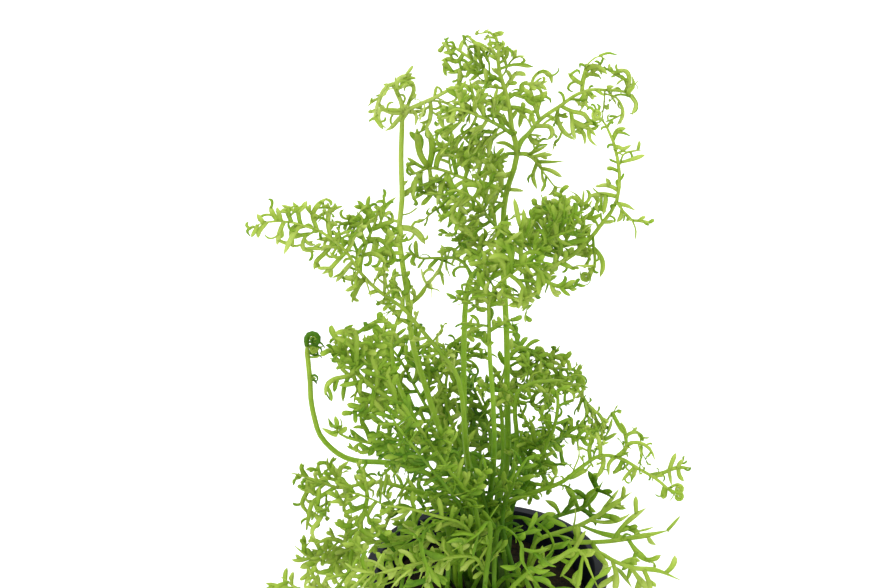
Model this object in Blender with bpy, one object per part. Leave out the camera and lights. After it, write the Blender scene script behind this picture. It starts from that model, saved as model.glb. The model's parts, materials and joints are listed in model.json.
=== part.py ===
"""Water sprite, a fine-leaved fern, growing in a net pot.

Metres, +Z up. The origin is the centre of the pot's underside, +X is the plant's right as seen from
the front, and +Y points to its back.
"""
import math

import bmesh
import bpy
import numpy as np

MM = 0.001

# Net pot
POT_HEIGHT = 0.046
RIM_RADIUS = 0.026
RIM_DROP = 0.0026
WALL_TOP_RADIUS = 0.0242
FOOT_RADIUS = 0.0172
WALL = 0.0013
FLOOR_THICKNESS = 0.0016
POT_SIDES = 32
SLOT_BOTTOM = 0.0285
SLOT_TOP = 0.0380

# Growing plug and the crown on it
FIT_GAP = 0.0003
PLUG_TOP = 0.0410
PLUG_SIDES = 24
CROWN_TOP = 0.0540
CROWN_PROFILE = [(0.0046, 0.0413), (0.0050, 0.0440), (0.0043, 0.0475), (0.0031, 0.0505), (0.0016, 0.0528)]
CROWN_SIDES = 14
# Distance from the axis and height of the whorls that the stalks stand in, the outermost first
WHORLS = [(0.0092, 0.0423), (0.0064, 0.0448), (0.0053, 0.0488), (0.0036, 0.0530),
          (0.0125, 0.0423)]

# Front view that the routes were read from by eye: a picture 880 wide and 588 high
VIEW_CENTRE = (440, 294)
VIEW_FOCAL = 2792
VIEW_TILT = math.radians(28.4)
EYE = np.array((-0.0099, -0.4974, 0.3815))

# Leaf sizes
PATH_STEP = 0.0007
BRANCH_WIDTH = 0.0011
BROAD_WIDTH = 0.0015
LEAF_THICKNESS = 0.0006
KNOB_RADIUS = 0.0011
TOOTH_STRETCH = (0.0008, 0.0034)
TOOTH_LENGTH = 0.0034
TOOTH_LEAN = math.radians(48)
CLEARANCE = 0.00042
SEARCH_REACH = 0.006
STRAY_STEP = 0.0011
STRAY_TRIES = 15
# How far the straight sides of a path may stand off the curve it follows
FACET_BOW = 0.0008
# From a stalk's centre to the corners of its section, in half widths, with a little to spare
SECTION_REACH = 1.38
# How far a shoot's base may move along its parent to share a ring with another's
SHARE_REACH = 0.0028

FROND_GREEN = (0.25, 0.45, 0.06, 1.0)
YOUNG_GREEN = (0.33, 0.50, 0.09, 1.0)
POT_BLACK = (0.012, 0.014, 0.020, 1.0)
PLUG_BROWN = (0.055, 0.030, 0.018, 1.0)
CROWN_BROWN = (0.16, 0.17, 0.05, 1.0)

# Each frond: where it starts (whorl and bearing on the crown, or a parent frond and the place on it),
# its girth at base and tip in millimetres, the share of its length that is bare stalk, its route as
# (across, down, depth behind the pot's axis in millimetres), and what grows on it, as (across, down):
# stalks carry small teeth, broad and narrow are plain leaf segments, knobs end in a rolled-up bud.
FRONDS = {
    "tall_left_frond": {
        "foot": (3, 150), "girth": (1.35, 0.8), "bare": 0.80,
        "route": [(474, 500, 1.5), (460, 474, 3), (440, 430, 5), (425, 385, 7), (412, 340, 8), (408, 300, 9),
                  (402, 260, 9.5), (399, 235, 10), (402, 200, 10), (401, 160, 10), (402, 130, 9.5),
                  (404, 113, 9), (418, 105, 8), (430, 100, 7), (445, 92, 6), (458, 86, 5), (475, 86, 4),
                  (488, 88, 3)],
        "stalks": [
            [(402, 112), (400, 100), (396, 89), (398, 80), (406, 75), (411, 76)],
            [(398, 96), (391, 84), (386, 87), (380, 98), (376, 110), (373, 121)],
            [(404, 111), (410, 100), (414, 90), (411, 81), (405, 80)],
            [(400, 113), (390, 109), (381, 108), (378, 117), (381, 125), (386, 128)],
            [(430, 101), (431, 112), (429, 122), (425, 130)],
            [(431, 101), (445, 104), (458, 110), (466, 116)],
            [(411, 306), (418, 298), (424, 290), (427, 284)]],
        "broad": [
            [(400, 228), (412, 229), (421, 237), (425, 244)],
            [(427, 284), (423, 276), (421, 268)],
            [(427, 284), (434, 277), (440, 266)]],
        "narrow": [
            [(401, 216), (410, 213), (418, 207)],
            [(400, 221), (388, 219), (382, 212), (388, 204), (396, 197)],
            [(401, 184), (408, 180)],
            [(402, 115), (397, 121), (391, 128), (385, 131)],
            [(410, 109), (416, 115), (415, 126)],
            [(424, 103), (423, 112), (419, 121)],
            [(458, 86), (461, 77), (459, 69)],
            [(475, 86), (479, 94), (486, 100)],
            [(428, 285), (436, 289), (440, 292)],
            [(427, 286), (431, 292), (432, 299)]],
    },
    "tall_centre_frond": {
        "foot": (3, 45), "girth": (1.45, 0.8), "bare": 0.74,
        "route": [(500, 500, 3), (507, 468, 4), (508, 430, 5), (507, 400, 5), (507, 350, 5), (506, 320, 5),
                  (505, 300, 5), (503, 262, 4.5), (503, 230, 4), (505, 200, 3), (510, 180, 2), (516, 162, 1),
                  (517, 150, 0.5), (512, 130, 0), (509, 105, 0), (505, 90, -1), (500, 75, -2), (498, 60, -3),
                  (499, 48, -4), (497, 39, -5), (491, 33, -7), (484, 31, -9), (478, 34, -10)],
        "stalks": [
            [(501, 64), (508, 56), (507, 46)],
            [(503, 78), (509, 64), (516, 57), (526, 56)],
            [(497, 56), (492, 50), (488, 45)],
            [(509, 98), (515, 94), (521, 93), (522, 84), (528, 81)],
            [(510, 107), (522, 109), (530, 112), (535, 116)],
            [(518, 154), (527, 154), (534, 158), (539, 164), (542, 171)],
            [(516, 153), (505, 154), (498, 162), (492, 176)]],
        "broad": [
            [(538, 162), (550, 162), (565, 161)],
            [(541, 170), (548, 178), (556, 187), (563, 188)],
            [(512, 173), (501, 177), (490, 182)]],
        "narrow": [
            [(499, 50), (504, 45), (502, 40)],
            [(514, 58), (517, 52)],
            [(508, 65), (520, 64), (532, 67)],
            [(504, 90), (497, 98), (489, 104)],
            [(524, 109), (523, 102)],
            [(526, 111), (521, 118), (519, 128)],
            [(516, 151), (505, 143), (495, 143)],
            [(530, 154), (540, 149), (547, 145)],
            [(532, 156), (542, 153), (550, 151)],
            [(541, 169), (552, 171), (562, 177)],
            [(541, 170), (543, 180), (546, 187)],
            [(536, 163), (533, 175), (537, 189)],
            [(511, 190), (518, 190), (524, 191)],
            [(505, 203), (497, 202), (489, 203)]],
    },
    "tall_centre_pinna_right": {
        "foot": ("tall_centre_frond", (517, 150)), "girth": (1.15, 0.7), "bare": 0.12,
        "route": [(523, 141, 2.5), (530, 132, 5), (540, 120, 8), (560, 106, 11), (580, 93, 14), (590, 90, 15),
                  (605, 90, 17), (625, 92, 19), (632, 95, 20)],
        "stalks": [
            [(581, 92), (583, 80), (586, 70), (586, 63)],
            [(625, 92), (629, 82), (627, 72), (618, 69)],
            [(604, 91), (604, 104), (602, 118)],
            [(606, 92), (615, 98), (622, 107), (622, 118), (617, 125)],
            [(560, 107), (572, 112), (584, 114), (592, 124), (600, 122)],
            [(558, 108), (558, 120), (564, 132), (575, 140)],
            [(572, 113), (573, 122), (588, 128), (596, 136)],
            [(540, 120), (536, 110), (532, 97), (530, 86)],
            [(531, 88), (535, 76), (542, 71), (550, 75), (552, 84)],
            [(534, 127), (542, 123), (550, 126), (553, 134), (547, 140)],
            [(529, 134), (533, 142), (540, 144)]],
        "broad": [
            [(586, 70), (592, 66), (600, 68), (607, 74)],
            [(534, 98), (541, 97), (547, 91)],
            [(631, 93), (634, 85), (632, 76)]],
        "narrow": [
            [(582, 84), (575, 80), (568, 73)],
            [(587, 66), (592, 60), (599, 56), (607, 61)],
            [(607, 90), (610, 87), (614, 86)],
            [(632, 95), (636, 104), (632, 115)],
            [(587, 91), (584, 100), (582, 107)],
            [(577, 124), (584, 134), (585, 145)],
            [(584, 134), (591, 141), (597, 146)],
            [(573, 120), (573, 132), (576, 139)],
            [(531, 92), (524, 90), (521, 84)],
            [(534, 86), (541, 85), (547, 90)]],
    },
    "tall_centre_pinna_top_left": {
        "foot": ("tall_centre_frond", (501, 82)), "girth": (1.0, 0.6), "bare": 0.1,
        "route": [(494, 77, 1), (484, 69, 4), (474, 61, 6), (464, 54, 8), (455, 48, 9), (446, 45, 10),
                  (440, 48, 10.5)],
        "stalks": [
            [(484, 69), (480, 58), (477, 47), (471, 38)],
            [(474, 61), (468, 52), (469, 45)],
            [(464, 55), (457, 62), (449, 59), (441, 61)],
            [(486, 71), (478, 74), (470, 71), (466, 78)],
            [(474, 62), (466, 66), (458, 71), (447, 73)],
            [(490, 74), (489, 62), (484, 52), (486, 46)]],
        "broad": [[(480, 66), (473, 68), (464, 63)]],
        "narrow": [[(493, 77), (485, 82), (477, 82)], [(455, 49), (450, 53), (443, 52)]],
    },
    "tall_centre_pinna_high_left": {
        "foot": ("tall_centre_frond", (512, 134)), "girth": (1.1, 0.6), "bare": 0.1,
        "route": [(504, 129, -3), (496, 124, -6), (486, 119, -9), (476, 115, -11), (466, 111, -13),
                  (456, 109, -14), (448, 112, -15)],
        "stalks": [
            [(496, 124), (491, 112), (494, 102), (490, 94)],
            [(486, 119), (481, 108), (474, 100), (471, 93)],
            [(476, 115), (468, 106), (460, 103), (452, 103)],
            [(499, 126), (493, 134), (486, 142), (482, 150)],
            [(488, 120), (480, 130), (472, 136), (470, 142)],
            [(478, 115), (472, 126), (464, 135), (458, 143), (452, 150)],
            [(468, 112), (460, 122), (452, 130), (444, 136)],
            [(480, 130), (475, 143), (468, 152), (466, 160)]],
        "broad": [[(490, 121), (483, 112), (484, 103)], [(462, 111), (455, 118), (451, 127)]],
        "narrow": [[(456, 110), (449, 117), (442, 118)], [(486, 136), (490, 145), (488, 156)]],
    },
    "tall_centre_pinna_mid_left": {
        "foot": ("tall_centre_frond", (508, 187)), "girth": (1.1, 0.7), "bare": 0.1,
        "route": [(498, 188, 5), (488, 187, 7), (478, 184, 9), (468, 180, 11), (458, 176, 12.5),
                  (448, 172, 14), (438, 169, 15), (428, 168, 15.5), (419, 172, 16), (411, 175, 16)],
        "stalks": [
            [(456, 175), (454, 162), (452, 150), (457, 143)],
            [(466, 179), (466, 168), (461, 158), (468, 150)],
            [(476, 183), (479, 170), (482, 158), (486, 149)],
            [(490, 187), (491, 175), (488, 163), (488, 154)],
            [(448, 172), (444, 184), (439, 195), (437, 206)],
            [(470, 181), (464, 190), (456, 196), (450, 204)]],
        "broad": [
            [(428, 168), (421, 156), (418, 143), (417, 128)],
            [(430, 167), (432, 150), (429, 130)],
            [(437, 169), (438, 158), (444, 149), (442, 140)],
            [(417, 173), (414, 184), (413, 200)]],
        "narrow": [[(428, 169), (431, 182), (432, 196)], [(482, 186), (478, 193), (480, 200)]],
    },
    "tall_centre_pinna_low_left": {
        "foot": ("tall_centre_frond", (503, 236)), "girth": (1.1, 0.6), "bare": 0.1,
        "route": [(497, 228, 0), (489, 219, -2), (482, 208, -4), (474, 199, -6), (465, 193, -7),
                  (456, 190, -8), (447, 192, -9)],
        "stalks": [
            [(456, 190), (449, 198), (442, 206), (446, 214)],
            [(464, 193), (456, 202), (451, 213), (455, 223), (462, 225)],
            [(483, 209), (490, 199), (497, 191)],
            [(474, 199), (479, 190), (477, 180)],
            [(490, 220), (483, 226), (475, 221), (469, 224)]],
        "broad": [[(484, 212), (476, 210), (466, 201)]],
        "narrow": [[(468, 196), (460, 206), (468, 215)], [(485, 212), (492, 208), (491, 214)]],
    },
    "right_arch_frond": {
        "foot": (3, 200), "girth": (1.4, 0.75), "bare": 0.60,
        "route": [(478, 498, -1.5), (469, 470, -3), (465, 435, -4), (464, 400, -5), (464, 345, -6),
                  (466, 300, -7), (468, 286, -7.5), (474, 273, -8), (485, 264, -8.5), (500, 262, -9),
                  (520, 264, -10), (545, 267, -11), (560, 263, -12), (575, 253, -13), (590, 239, -14),
                  (600, 226, -15), (611, 212, -16), (617, 200, -17), (619, 190, -17.5), (619.5, 175, -18),
                  (618, 160, -18), (615, 150, -18), (612, 137, -17.5), (607, 127, -17), (602, 119, -16),
                  (596, 112, -15)],
        "stalks": [
            [(620, 166), (624, 154), (634, 151), (643, 150)],
            [(618, 190), (612, 187), (604, 185), (595, 187)],
            [(617, 197), (606, 194), (595, 195), (588, 197)],
            [(619, 203), (624, 210), (632, 220), (636, 232), (635, 240)],
            [(593, 236), (594, 248), (595, 262), (593, 273)],
            [(593, 266), (590, 274), (587, 281)]],
        "broad": [[(576, 251), (584, 254), (592, 253)]],
        "narrow": [
            [(613, 138), (617, 131), (626, 128)],
            [(616, 151), (623, 149), (631, 145)],
            [(622, 162), (633, 159), (645, 155)],
            [(611, 187), (608, 181), (606, 178)],
            [(606, 195), (605, 205), (603, 215)],
            [(596, 196), (596, 206), (599, 213)],
            [(620, 203), (628, 206), (635, 210)],
            [(623, 210), (621, 217), (617, 222)],
            [(594, 248), (601, 256), (603, 267), (600, 277)],
            [(594, 266), (585, 266), (575, 265)]],
        "knobs": [[(603, 120), (598, 116), (594, 111)], [(591, 273), (586, 276), (581, 278)]],
    },
    "right_arch_pinna_inner": {
        "foot": ("right_arch_frond", (553, 266)), "girth": (1.1, 0.6), "bare": 0.08,
        "route": [(558, 254, -9), (565, 242, -7), (572, 230, -5), (578, 218, -3), (582, 206, -1),
                  (584, 190, 0)],
        "stalks": [
            [(560, 250), (552, 240), (546, 230), (540, 222), (533, 217)],
            [(563, 246), (557, 232), (558, 216), (561, 201)],
            [(568, 237), (562, 226), (565, 212)],
            [(574, 226), (568, 216), (569, 205)],
            [(562, 249), (572, 245), (582, 239)],
            [(570, 234), (581, 231), (591, 227)],
            [(576, 222), (585, 218), (592, 213), (594, 206)]],
        "broad": [[(558, 252), (565, 256), (574, 254)]],
        "narrow": [[(582, 206), (576, 198), (569, 197)], [(583, 203), (577, 195), (568, 190)],
                   [(581, 211), (588, 207), (592, 200)]],
        "knobs": [[(546, 226), (541, 220), (537, 211)]],
    },
    "right_arch_pinna_back": {
        "foot": ("right_arch_frond", (530, 265)), "girth": (1.0, 0.6), "bare": 0.08,
        "route": [(532, 256, -12), (538, 248, -15), (546, 241, -18), (556, 236, -20), (567, 232, -22),
                  (577, 228, -24)],
        "stalks": [
            [(536, 250), (530, 243), (529, 236), (534, 228)],
            [(546, 241), (549, 231), (545, 225)],
            [(542, 245), (552, 250), (561, 253)],
            [(556, 236), (564, 243), (573, 246)],
            [(557, 236), (561, 226), (568, 219)],
            [(567, 232), (576, 235), (585, 234)]],
        "broad": [[(548, 240), (556, 246), (563, 247)]],
        "narrow": [[(570, 231), (576, 222), (581, 219)]],
    },
    "right_arch_pinna_left": {
        "foot": ("right_arch_frond", (472, 276)), "girth": (0.95, 0.6), "bare": 0.1,
        "route": [(464, 263, -4), (455, 258, -2), (445, 258, 0), (433, 258, 1), (420, 258, 2), (411, 254, 2),
                  (405, 252, 2)],
        "stalks": [
            [(457, 258), (463, 249), (465, 239), (464, 232), (472, 226)],
            [(462, 248), (459, 239), (450, 233)],
            [(456, 258), (454, 250), (443, 247)],
            [(444, 258), (441, 266), (437, 275)]],
        "broad": [[(448, 258), (446, 266), (446, 272)]],
        "narrow": [[(463, 262), (461, 268)], [(454, 258), (452, 267)], [(414, 256), (412, 262), (416, 266)]],
    },
    "upright_centre_frond": {
        "foot": (3, 295), "girth": (1.25, 0.65), "bare": 0.66,
        "route": [(490, 500, -5), (494, 460, -9), (493, 400, -13), (490, 360, -15), (489, 320, -17),
                  (489, 303, -18), (494, 290, -19), (503, 280, -20), (514, 272, -20), (525, 262, -19),
                  (535, 252, -18), (545, 244, -17)],
        "stalks": [
            [(490, 300), (486, 290), (489, 281)],
            [(495, 289), (489, 278), (487, 268), (482, 262)],
            [(506, 278), (504, 266), (498, 256), (490, 247)],
            [(514, 272), (512, 260), (508, 248), (506, 240)],
            [(510, 275), (518, 281), (525, 291), (527, 302), (521, 309)],
            [(518, 270), (528, 275), (535, 284), (541, 289), (533, 294)],
            [(526, 262), (534, 268), (541, 275), (545, 286)],
            [(500, 283), (503, 292), (511, 298), (519, 300)],
            [(521, 265), (521, 250), (521, 235), (520, 222)]],
        "broad": [[(497, 288), (496, 296), (502, 302)]],
        "narrow": [[(520, 224), (517, 212), (514, 198)], [(521, 230), (524, 219), (523, 209)],
                   [(521, 242), (528, 230), (531, 218)], [(490, 304), (484, 298), (478, 299)],
                   [(527, 296), (531, 295), (536, 298)]],
    },
    "upright_centre_pinna": {
        "foot": ("upright_centre_frond", (490, 298)), "girth": (0.95, 0.6), "bare": 0.08,
        "route": [(484, 284, -15), (484, 270, -12), (483, 258, -10), (481, 246, -8), (477, 235, -6),
                  (471, 226, -5)],
        "stalks": [
            [(483, 258), (476, 252), (468, 248)],
            [(482, 247), (490, 241), (498, 235)],
            [(483, 262), (492, 256), (501, 252), (510, 247)],
            [(478, 237), (472, 235), (463, 232)],
            [(484, 272), (477, 282), (474, 292)]],
        "narrow": [[(484, 270), (492, 268), (498, 264)], [(481, 244), (486, 234), (484, 228)]],
    },
    "left_diagonal_frond": {
        "foot": (3, 245), "girth": (1.35, 0.6), "bare": 0.44,
        "route": [(480, 500, -5), (470, 472, -8), (465, 435, -10.5), (462, 398, -12), (455, 371, -13),
                  (440, 352, -14), (430, 340, -15), (415, 322, -16), (403, 308, -17), (393, 301, -18),
                  (380, 292, -19), (365, 278, -20), (355, 265, -21), (345, 250, -22), (332, 239, -23),
                  (320, 231, -24), (305, 226, -25), (290, 222, -26), (275, 221, -27), (262, 223, -28),
                  (250, 228, -29)],
        "stalks": [
            [(276, 221), (272, 212), (270, 206)],
            [(290, 222), (288, 212), (290, 206)],
            [(302, 225), (298, 212), (293, 202)],
            [(318, 231), (313, 214), (319, 204), (327, 198)],
            [(331, 238), (328, 222), (330, 206)],
            [(285, 222), (279, 234), (277, 245)],
            [(300, 226), (290, 240), (284, 254)],
            [(318, 231), (305, 238), (303, 248), (315, 252)],
            [(335, 241), (325, 252), (316, 262), (314, 270)],
            [(346, 251), (337, 261), (330, 269), (322, 274)],
            [(352, 261), (345, 270), (336, 282)],
            [(360, 272), (352, 277), (344, 277)],
            [(347, 253), (352, 240), (346, 232)]],
        "broad": [[(364, 277), (356, 291), (352, 303)], [(385, 295), (393, 289), (402, 292)]],
        "narrow": [
            [(264, 222), (257, 214)], [(266, 222), (259, 231), (258, 238)],
            [(280, 221), (277, 207)], [(297, 213), (303, 207), (307, 201)],
            [(330, 222), (338, 225)], [(297, 230), (293, 248)],
            [(366, 279), (369, 290), (371, 298)], [(362, 279), (352, 288), (345, 291)],
            [(390, 298), (387, 285), (384, 268)], [(333, 270), (331, 278)]],
    },
    "left_diagonal_pinna_upper": {
        "foot": ("left_diagonal_frond", (359, 271)), "girth": (1.0, 0.6), "bare": 0.08,
        "route": [(362, 258, -18), (366, 245, -16), (371, 232, -14), (376, 220, -12), (378, 206, -11)],
        "stalks": [
            [(362, 258), (355, 246), (352, 232), (358, 224)],
            [(366, 245), (361, 232), (362, 220), (357, 212)],
            [(362, 222), (354, 217), (348, 220)],
            [(371, 232), (367, 220), (368, 210), (364, 207)],
            [(367, 243), (378, 240), (388, 246), (391, 258), (389, 266)],
            [(373, 228), (384, 224), (394, 222)],
            [(363, 255), (373, 254), (382, 258), (386, 264)]],
        "broad": [[(388, 246), (391, 236), (388, 229)], [(369, 240), (375, 248), (371, 256)]],
        "narrow": [[(376, 220), (372, 214), (371, 208)], [(363, 250), (356, 256), (358, 262)]],
    },
    "left_crossing_frond": {
        "foot": (2, 172), "girth": (1.15, 0.7), "bare": 0.74,
        "route": [(462, 492, 0), (436, 455, 0.5), (410, 410, 1), (394, 368, 1.5), (392, 342, 2), (398, 318, 2.5),
                  (404, 302, 3), (401, 290, 4), (394, 283, 5)],
        "stalks": [[(404, 300), (396, 296), (388, 290)], [(392, 345), (386, 338), (382, 334)]],
        "broad": [[(402, 292), (408, 284), (406, 276)]],
        "narrow": [[(396, 284), (392, 278), (400, 274)]],
    },
    "left_fiddlehead": {
        "foot": (2, 150), "girth": (1.3, 1.0), "bare": 0.97,
        "route": [(462, 496, 5), (436, 478, 9), (404, 465, 12), (379, 462, 13.5), (358, 461, 14.5),
                  (344, 457, 15), (330, 447, 15.5), (320, 435, 16), (315, 420, 16), (311, 400, 16),
                  (310, 380, 16), (308, 360, 16), (307, 345, 16), (309, 337, 16)],
        "stalks": [],
        "narrow": [[(308, 352), (316, 349), (324, 346)], [(309, 356), (315, 357), (320, 356)],
                   [(310, 376), (316, 379)]],
        "knobs": [[(308, 341), (311, 337), (315, 339)], [(309, 348), (314, 349), (318, 352)]],
    },
    "left_low_frond": {
        "foot": (2, 208), "girth": (1.2, 0.7), "bare": 0.50,
        "route": [(462, 508, -4), (436, 497, -6), (405, 488, -8), (376, 482, -9), (357, 485, -10),
                  (340, 488, -10.5), (326, 484, -11), (312, 479, -11), (300, 475, -11), (291, 473, -11)],
        "stalks": [
            [(330, 485), (322, 478), (318, 468), (319, 461)],
            [(340, 488), (335, 476), (328, 466), (327, 457)],
            [(341, 487), (336, 478), (341, 468), (349, 461)],
            [(322, 483), (311, 488), (305, 496), (302, 503), (308, 514)],
            [(334, 488), (322, 495), (312, 503), (309, 516), (306, 530)]],
        "broad": [[(352, 486), (346, 494), (338, 497)]],
        "narrow": [[(306, 477), (302, 470), (301, 463)], [(298, 475), (294, 480), (294, 485)],
                   [(362, 484), (362, 474), (361, 467)], [(376, 483), (374, 492), (372, 498)]],
    },
    "bud_frond_left": {
        "foot": (2, 228), "girth": (1.1, 0.7), "bare": 0.55,
        "route": [(468, 504, -8), (444, 486, -12), (414, 464, -16), (390, 450, -19), (370, 443, -21),
                  (352, 439, -22), (340, 434, -23), (335, 427, -23)],
        "stalks": [
            [(370, 443), (367, 431), (362, 422), (360, 415)],
            [(380, 447), (378, 432), (380, 420)],
            [(382, 447), (370, 451), (359, 452), (356, 446)],
            [(400, 455), (392, 442), (388, 432)],
            [(410, 462), (398, 462), (386, 466)]],
        "broad": [[(364, 441), (356, 436), (350, 429)]],
        "narrow": [[(335, 428), (330, 423), (328, 418)], [(335, 427), (335, 416)],
                   [(336, 428), (342, 424), (340, 418)], [(338, 432), (344, 430), (347, 427)],
                   [(337, 431), (329, 432), (322, 428)]],
    },
    "middle_left_frond": {
        "foot": (2, 248), "girth": (1.25, 0.7), "bare": 0.50,
        "route": [(472, 500, -9), (452, 474, -13), (428, 440, -16), (402, 408, -19), (382, 392, -21),
                  (367, 384, -22), (354, 376, -23), (344, 370, -23.5), (334, 366, -24), (328, 359, -24),
                  (325, 347, -24)],
        "stalks": [
            [(354, 375), (350, 362), (345, 350), (341, 340), (332, 343)],
            [(357, 377), (357, 362), (357, 345), (355, 332), (349, 327), (345, 334)],
            [(366, 383), (367, 368), (367, 350), (364, 334)],
            [(378, 390), (378, 374), (373, 358), (376, 348)],
            [(353, 376), (344, 378), (334, 379), (327, 386), (325, 396)],
            [(357, 379), (359, 392), (366, 404), (366, 418)],
            [(372, 388), (373, 402), (369, 412)],
            [(384, 394), (382, 408), (384, 420)],
            [(396, 404), (394, 390), (388, 378), (390, 366)]],
        "broad": [[(345, 352), (339, 350), (332, 346)]],
        "narrow": [[(351, 377), (344, 388), (343, 402)], [(337, 379), (334, 392)],
                   [(362, 382), (360, 394)], [(347, 371), (339, 362), (336, 356)]],
    },
    "middle_upper_frond": {
        "foot": (2, 125), "girth": (1.2, 0.65), "bare": 0.42,
        "route": [(474, 490, 5), (454, 455, 9), (434, 420, 12), (418, 392, 15), (406, 370, 17), (396, 354, 18),
                  (388, 346, 19), (380, 347, 19)],
        "stalks": [
            [(406, 370), (413, 357), (420, 347), (428, 345)],
            [(397, 356), (403, 347), (402, 340)],
            [(410, 378), (397, 374), (384, 368), (376, 358)],
            [(418, 392), (404, 392), (392, 388), (382, 384)],
            [(420, 396), (428, 384), (430, 372), (425, 360)],
            [(428, 410), (413, 408), (400, 404), (388, 398)],
            [(434, 420), (420, 422), (406, 420), (394, 414)],
            [(436, 424), (444, 412), (448, 400), (442, 392)],
            [(400, 360), (390, 360), (382, 354)]],
        "broad": [[(412, 382), (418, 372), (418, 362)]],
        "narrow": [[(446, 444), (434, 444), (424, 448)], [(444, 440), (452, 428), (458, 420)]],
    },
    "middle_low_left_frond": {
        "foot": (1, 205), "girth": (1.1, 0.65), "bare": 0.30,
        "route": [(462, 512, -10), (444, 484, -17), (424, 460, -22), (408, 440, -26), (396, 424, -28),
                  (388, 410, -29)],
        "stalks": [
            [(424, 460), (410, 458), (398, 452), (388, 446)],
            [(412, 445), (402, 442), (390, 438), (378, 430)],
            [(404, 434), (410, 422), (406, 410), (400, 402)],
            [(430, 467), (424, 450), (425, 434), (428, 420)],
            [(440, 479), (438, 460), (440, 444), (436, 432)],
            [(396, 424), (388, 424), (378, 424)]],
        "broad": [[(428, 465), (416, 470), (404, 470)]],
        "narrow": [[(448, 490), (436, 488), (424, 484)], [(392, 416), (398, 410), (397, 404)]],
    },
    "middle_centre_frond": {
        "foot": (3, 100), "girth": (1.15, 0.65), "bare": 0.48,
        "route": [(482, 488, 7), (470, 460, 11), (454, 430, 14), (446, 402, 16), (447, 376, 17), (454, 354, 18),
                  (462, 342, 18)],
        "stalks": [
            [(447, 375), (440, 362), (444, 350), (443, 342)],
            [(449, 368), (458, 363), (466, 356), (471, 349)],
            [(446, 388), (437, 380), (431, 370)],
            [(452, 358), (448, 350), (452, 342)],
            [(446, 392), (455, 388), (463, 382)],
            [(446, 400), (438, 402), (434, 394)],
            [(456, 434), (446, 428), (434, 428)]],
        "broad": [[(446, 402), (452, 404), (456, 398)], [(450, 420), (455, 417), (460, 414)]],
        "narrow": [[(464, 450), (470, 438), (476, 430)]],
    },
    "right_middle_frond": {
        "foot": (2, 58), "girth": (1.2, 0.6), "bare": 0.46,
        "route": [(500, 492, 8), (503, 455, 12), (502, 420, 15), (500, 390, 17), (506, 370, 19), (518, 362, 20),
                  (534, 364, 21), (550, 368, 22), (564, 369, 23), (576, 371, 24), (584, 386, 24)],
        "stalks": [
            [(505, 372), (510, 356), (520, 348), (532, 349)],
            [(520, 362), (526, 354), (534, 352)],
            [(535, 364), (540, 357), (548, 352)],
            [(552, 368), (551, 357), (555, 348)],
            [(508, 368), (516, 376), (526, 374)],
            [(534, 364), (542, 374), (552, 378)],
            [(500, 392), (492, 382), (486, 376)],
            [(524, 363), (528, 376), (522, 386)]],
        "broad": [[(545, 367), (553, 362), (560, 365)]],
        "narrow": [[(502, 384), (508, 392), (510, 400)], [(562, 369), (565, 378), (573, 380)]],
    },
    "right_arching_frond": {
        "foot": (2, 25), "girth": (1.3, 0.7), "bare": 0.50,
        "route": [(506, 496, 3), (514, 468, 5), (517, 440, 7), (515, 408, 9), (518, 391, 10), (530, 384, 11),
                  (548, 381, 12), (566, 382, 13), (578, 390, 14), (588, 405, 15), (597, 420, 16),
                  (602, 434, 16), (604, 446, 16)],
        "stalks": [
            [(588, 405), (596, 412), (600, 414)],
            [(602, 434), (606, 423), (612, 412)],
            [(598, 424), (592, 422), (587, 421)],
            [(582, 396), (580, 406), (578, 413)],
            [(584, 400), (587, 412), (584, 421)],
            [(548, 381), (541, 391), (533, 397), (533, 405), (541, 407), (549, 402)],
            [(560, 381), (568, 390), (574, 394), (573, 402)],
            [(530, 384), (534, 374), (542, 372)],
            [(566, 382), (572, 375), (580, 376), (585, 388)]],
        "broad": [[(603, 438), (609, 430), (612, 418)]],
        "narrow": [[(603, 440), (610, 437), (617, 433)], [(532, 398), (527, 393)],
                   [(612, 413), (618, 424), (623, 434)], [(520, 390), (520, 398)]],
    },
    "right_inner_frond": {
        "foot": (1, 22), "girth": (1.15, 0.9), "bare": 0.34,
        "route": [(514, 502, -3), (528, 480, -6), (540, 458, -9), (550, 438, -11), (556, 420, -12),
                  (558, 402, -12), (557, 388, -12)],
        "stalks": [
            [(546, 446), (560, 438), (572, 430), (584, 422)],
            [(542, 454), (534, 440), (533, 428), (529, 418)],
            [(556, 440), (566, 436), (578, 437)],
            [(530, 477), (526, 462), (520, 450), (522, 438)],
            [(536, 466), (548, 462), (558, 466)],
            [(551, 436), (544, 428), (541, 418)]],
        "broad": [[(542, 460), (553, 466), (556, 477)]],
        "narrow": [[(554, 428), (549, 420), (550, 413)], [(556, 424), (564, 421), (570, 418)],
                   [(524, 486), (536, 484), (546, 486)]],
    },
    "right_low_frond": {
        "foot": (2, 352), "girth": (1.3, 0.75), "bare": 0.40,
        "route": [(508, 504, -2), (535, 492, -5), (562, 482, -8), (583, 466, -10), (604, 455, -12),
                  (620, 458, -13), (639, 469, -14), (655, 478, -15), (668, 489, -15), (677, 497, -15)],
        "stalks": [
            [(604, 455), (604, 464), (597, 478)],
            [(616, 457), (622, 450), (630, 443), (641, 443), (650, 449), (655, 460)],
            [(625, 446), (625, 436), (637, 432), (641, 443)],
            [(622, 459), (619, 468), (613, 474)],
            [(634, 466), (628, 474), (622, 481)],
            [(650, 475), (662, 473), (675, 468), (691, 468)],
            [(590, 461), (589, 448), (592, 436), (583, 428)],
            [(600, 456), (600, 444), (596, 432)],
            [(641, 444), (642, 456), (637, 465)]],
        "broad": [[(664, 486), (664, 493), (663, 499)], [(570, 477), (580, 472), (588, 470)]],
        "narrow": [
            [(606, 455), (608, 466), (609, 476)], [(625, 438), (624, 429), (621, 422)],
            [(669, 471), (672, 462), (676, 453)], [(678, 469), (683, 459)],
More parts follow.
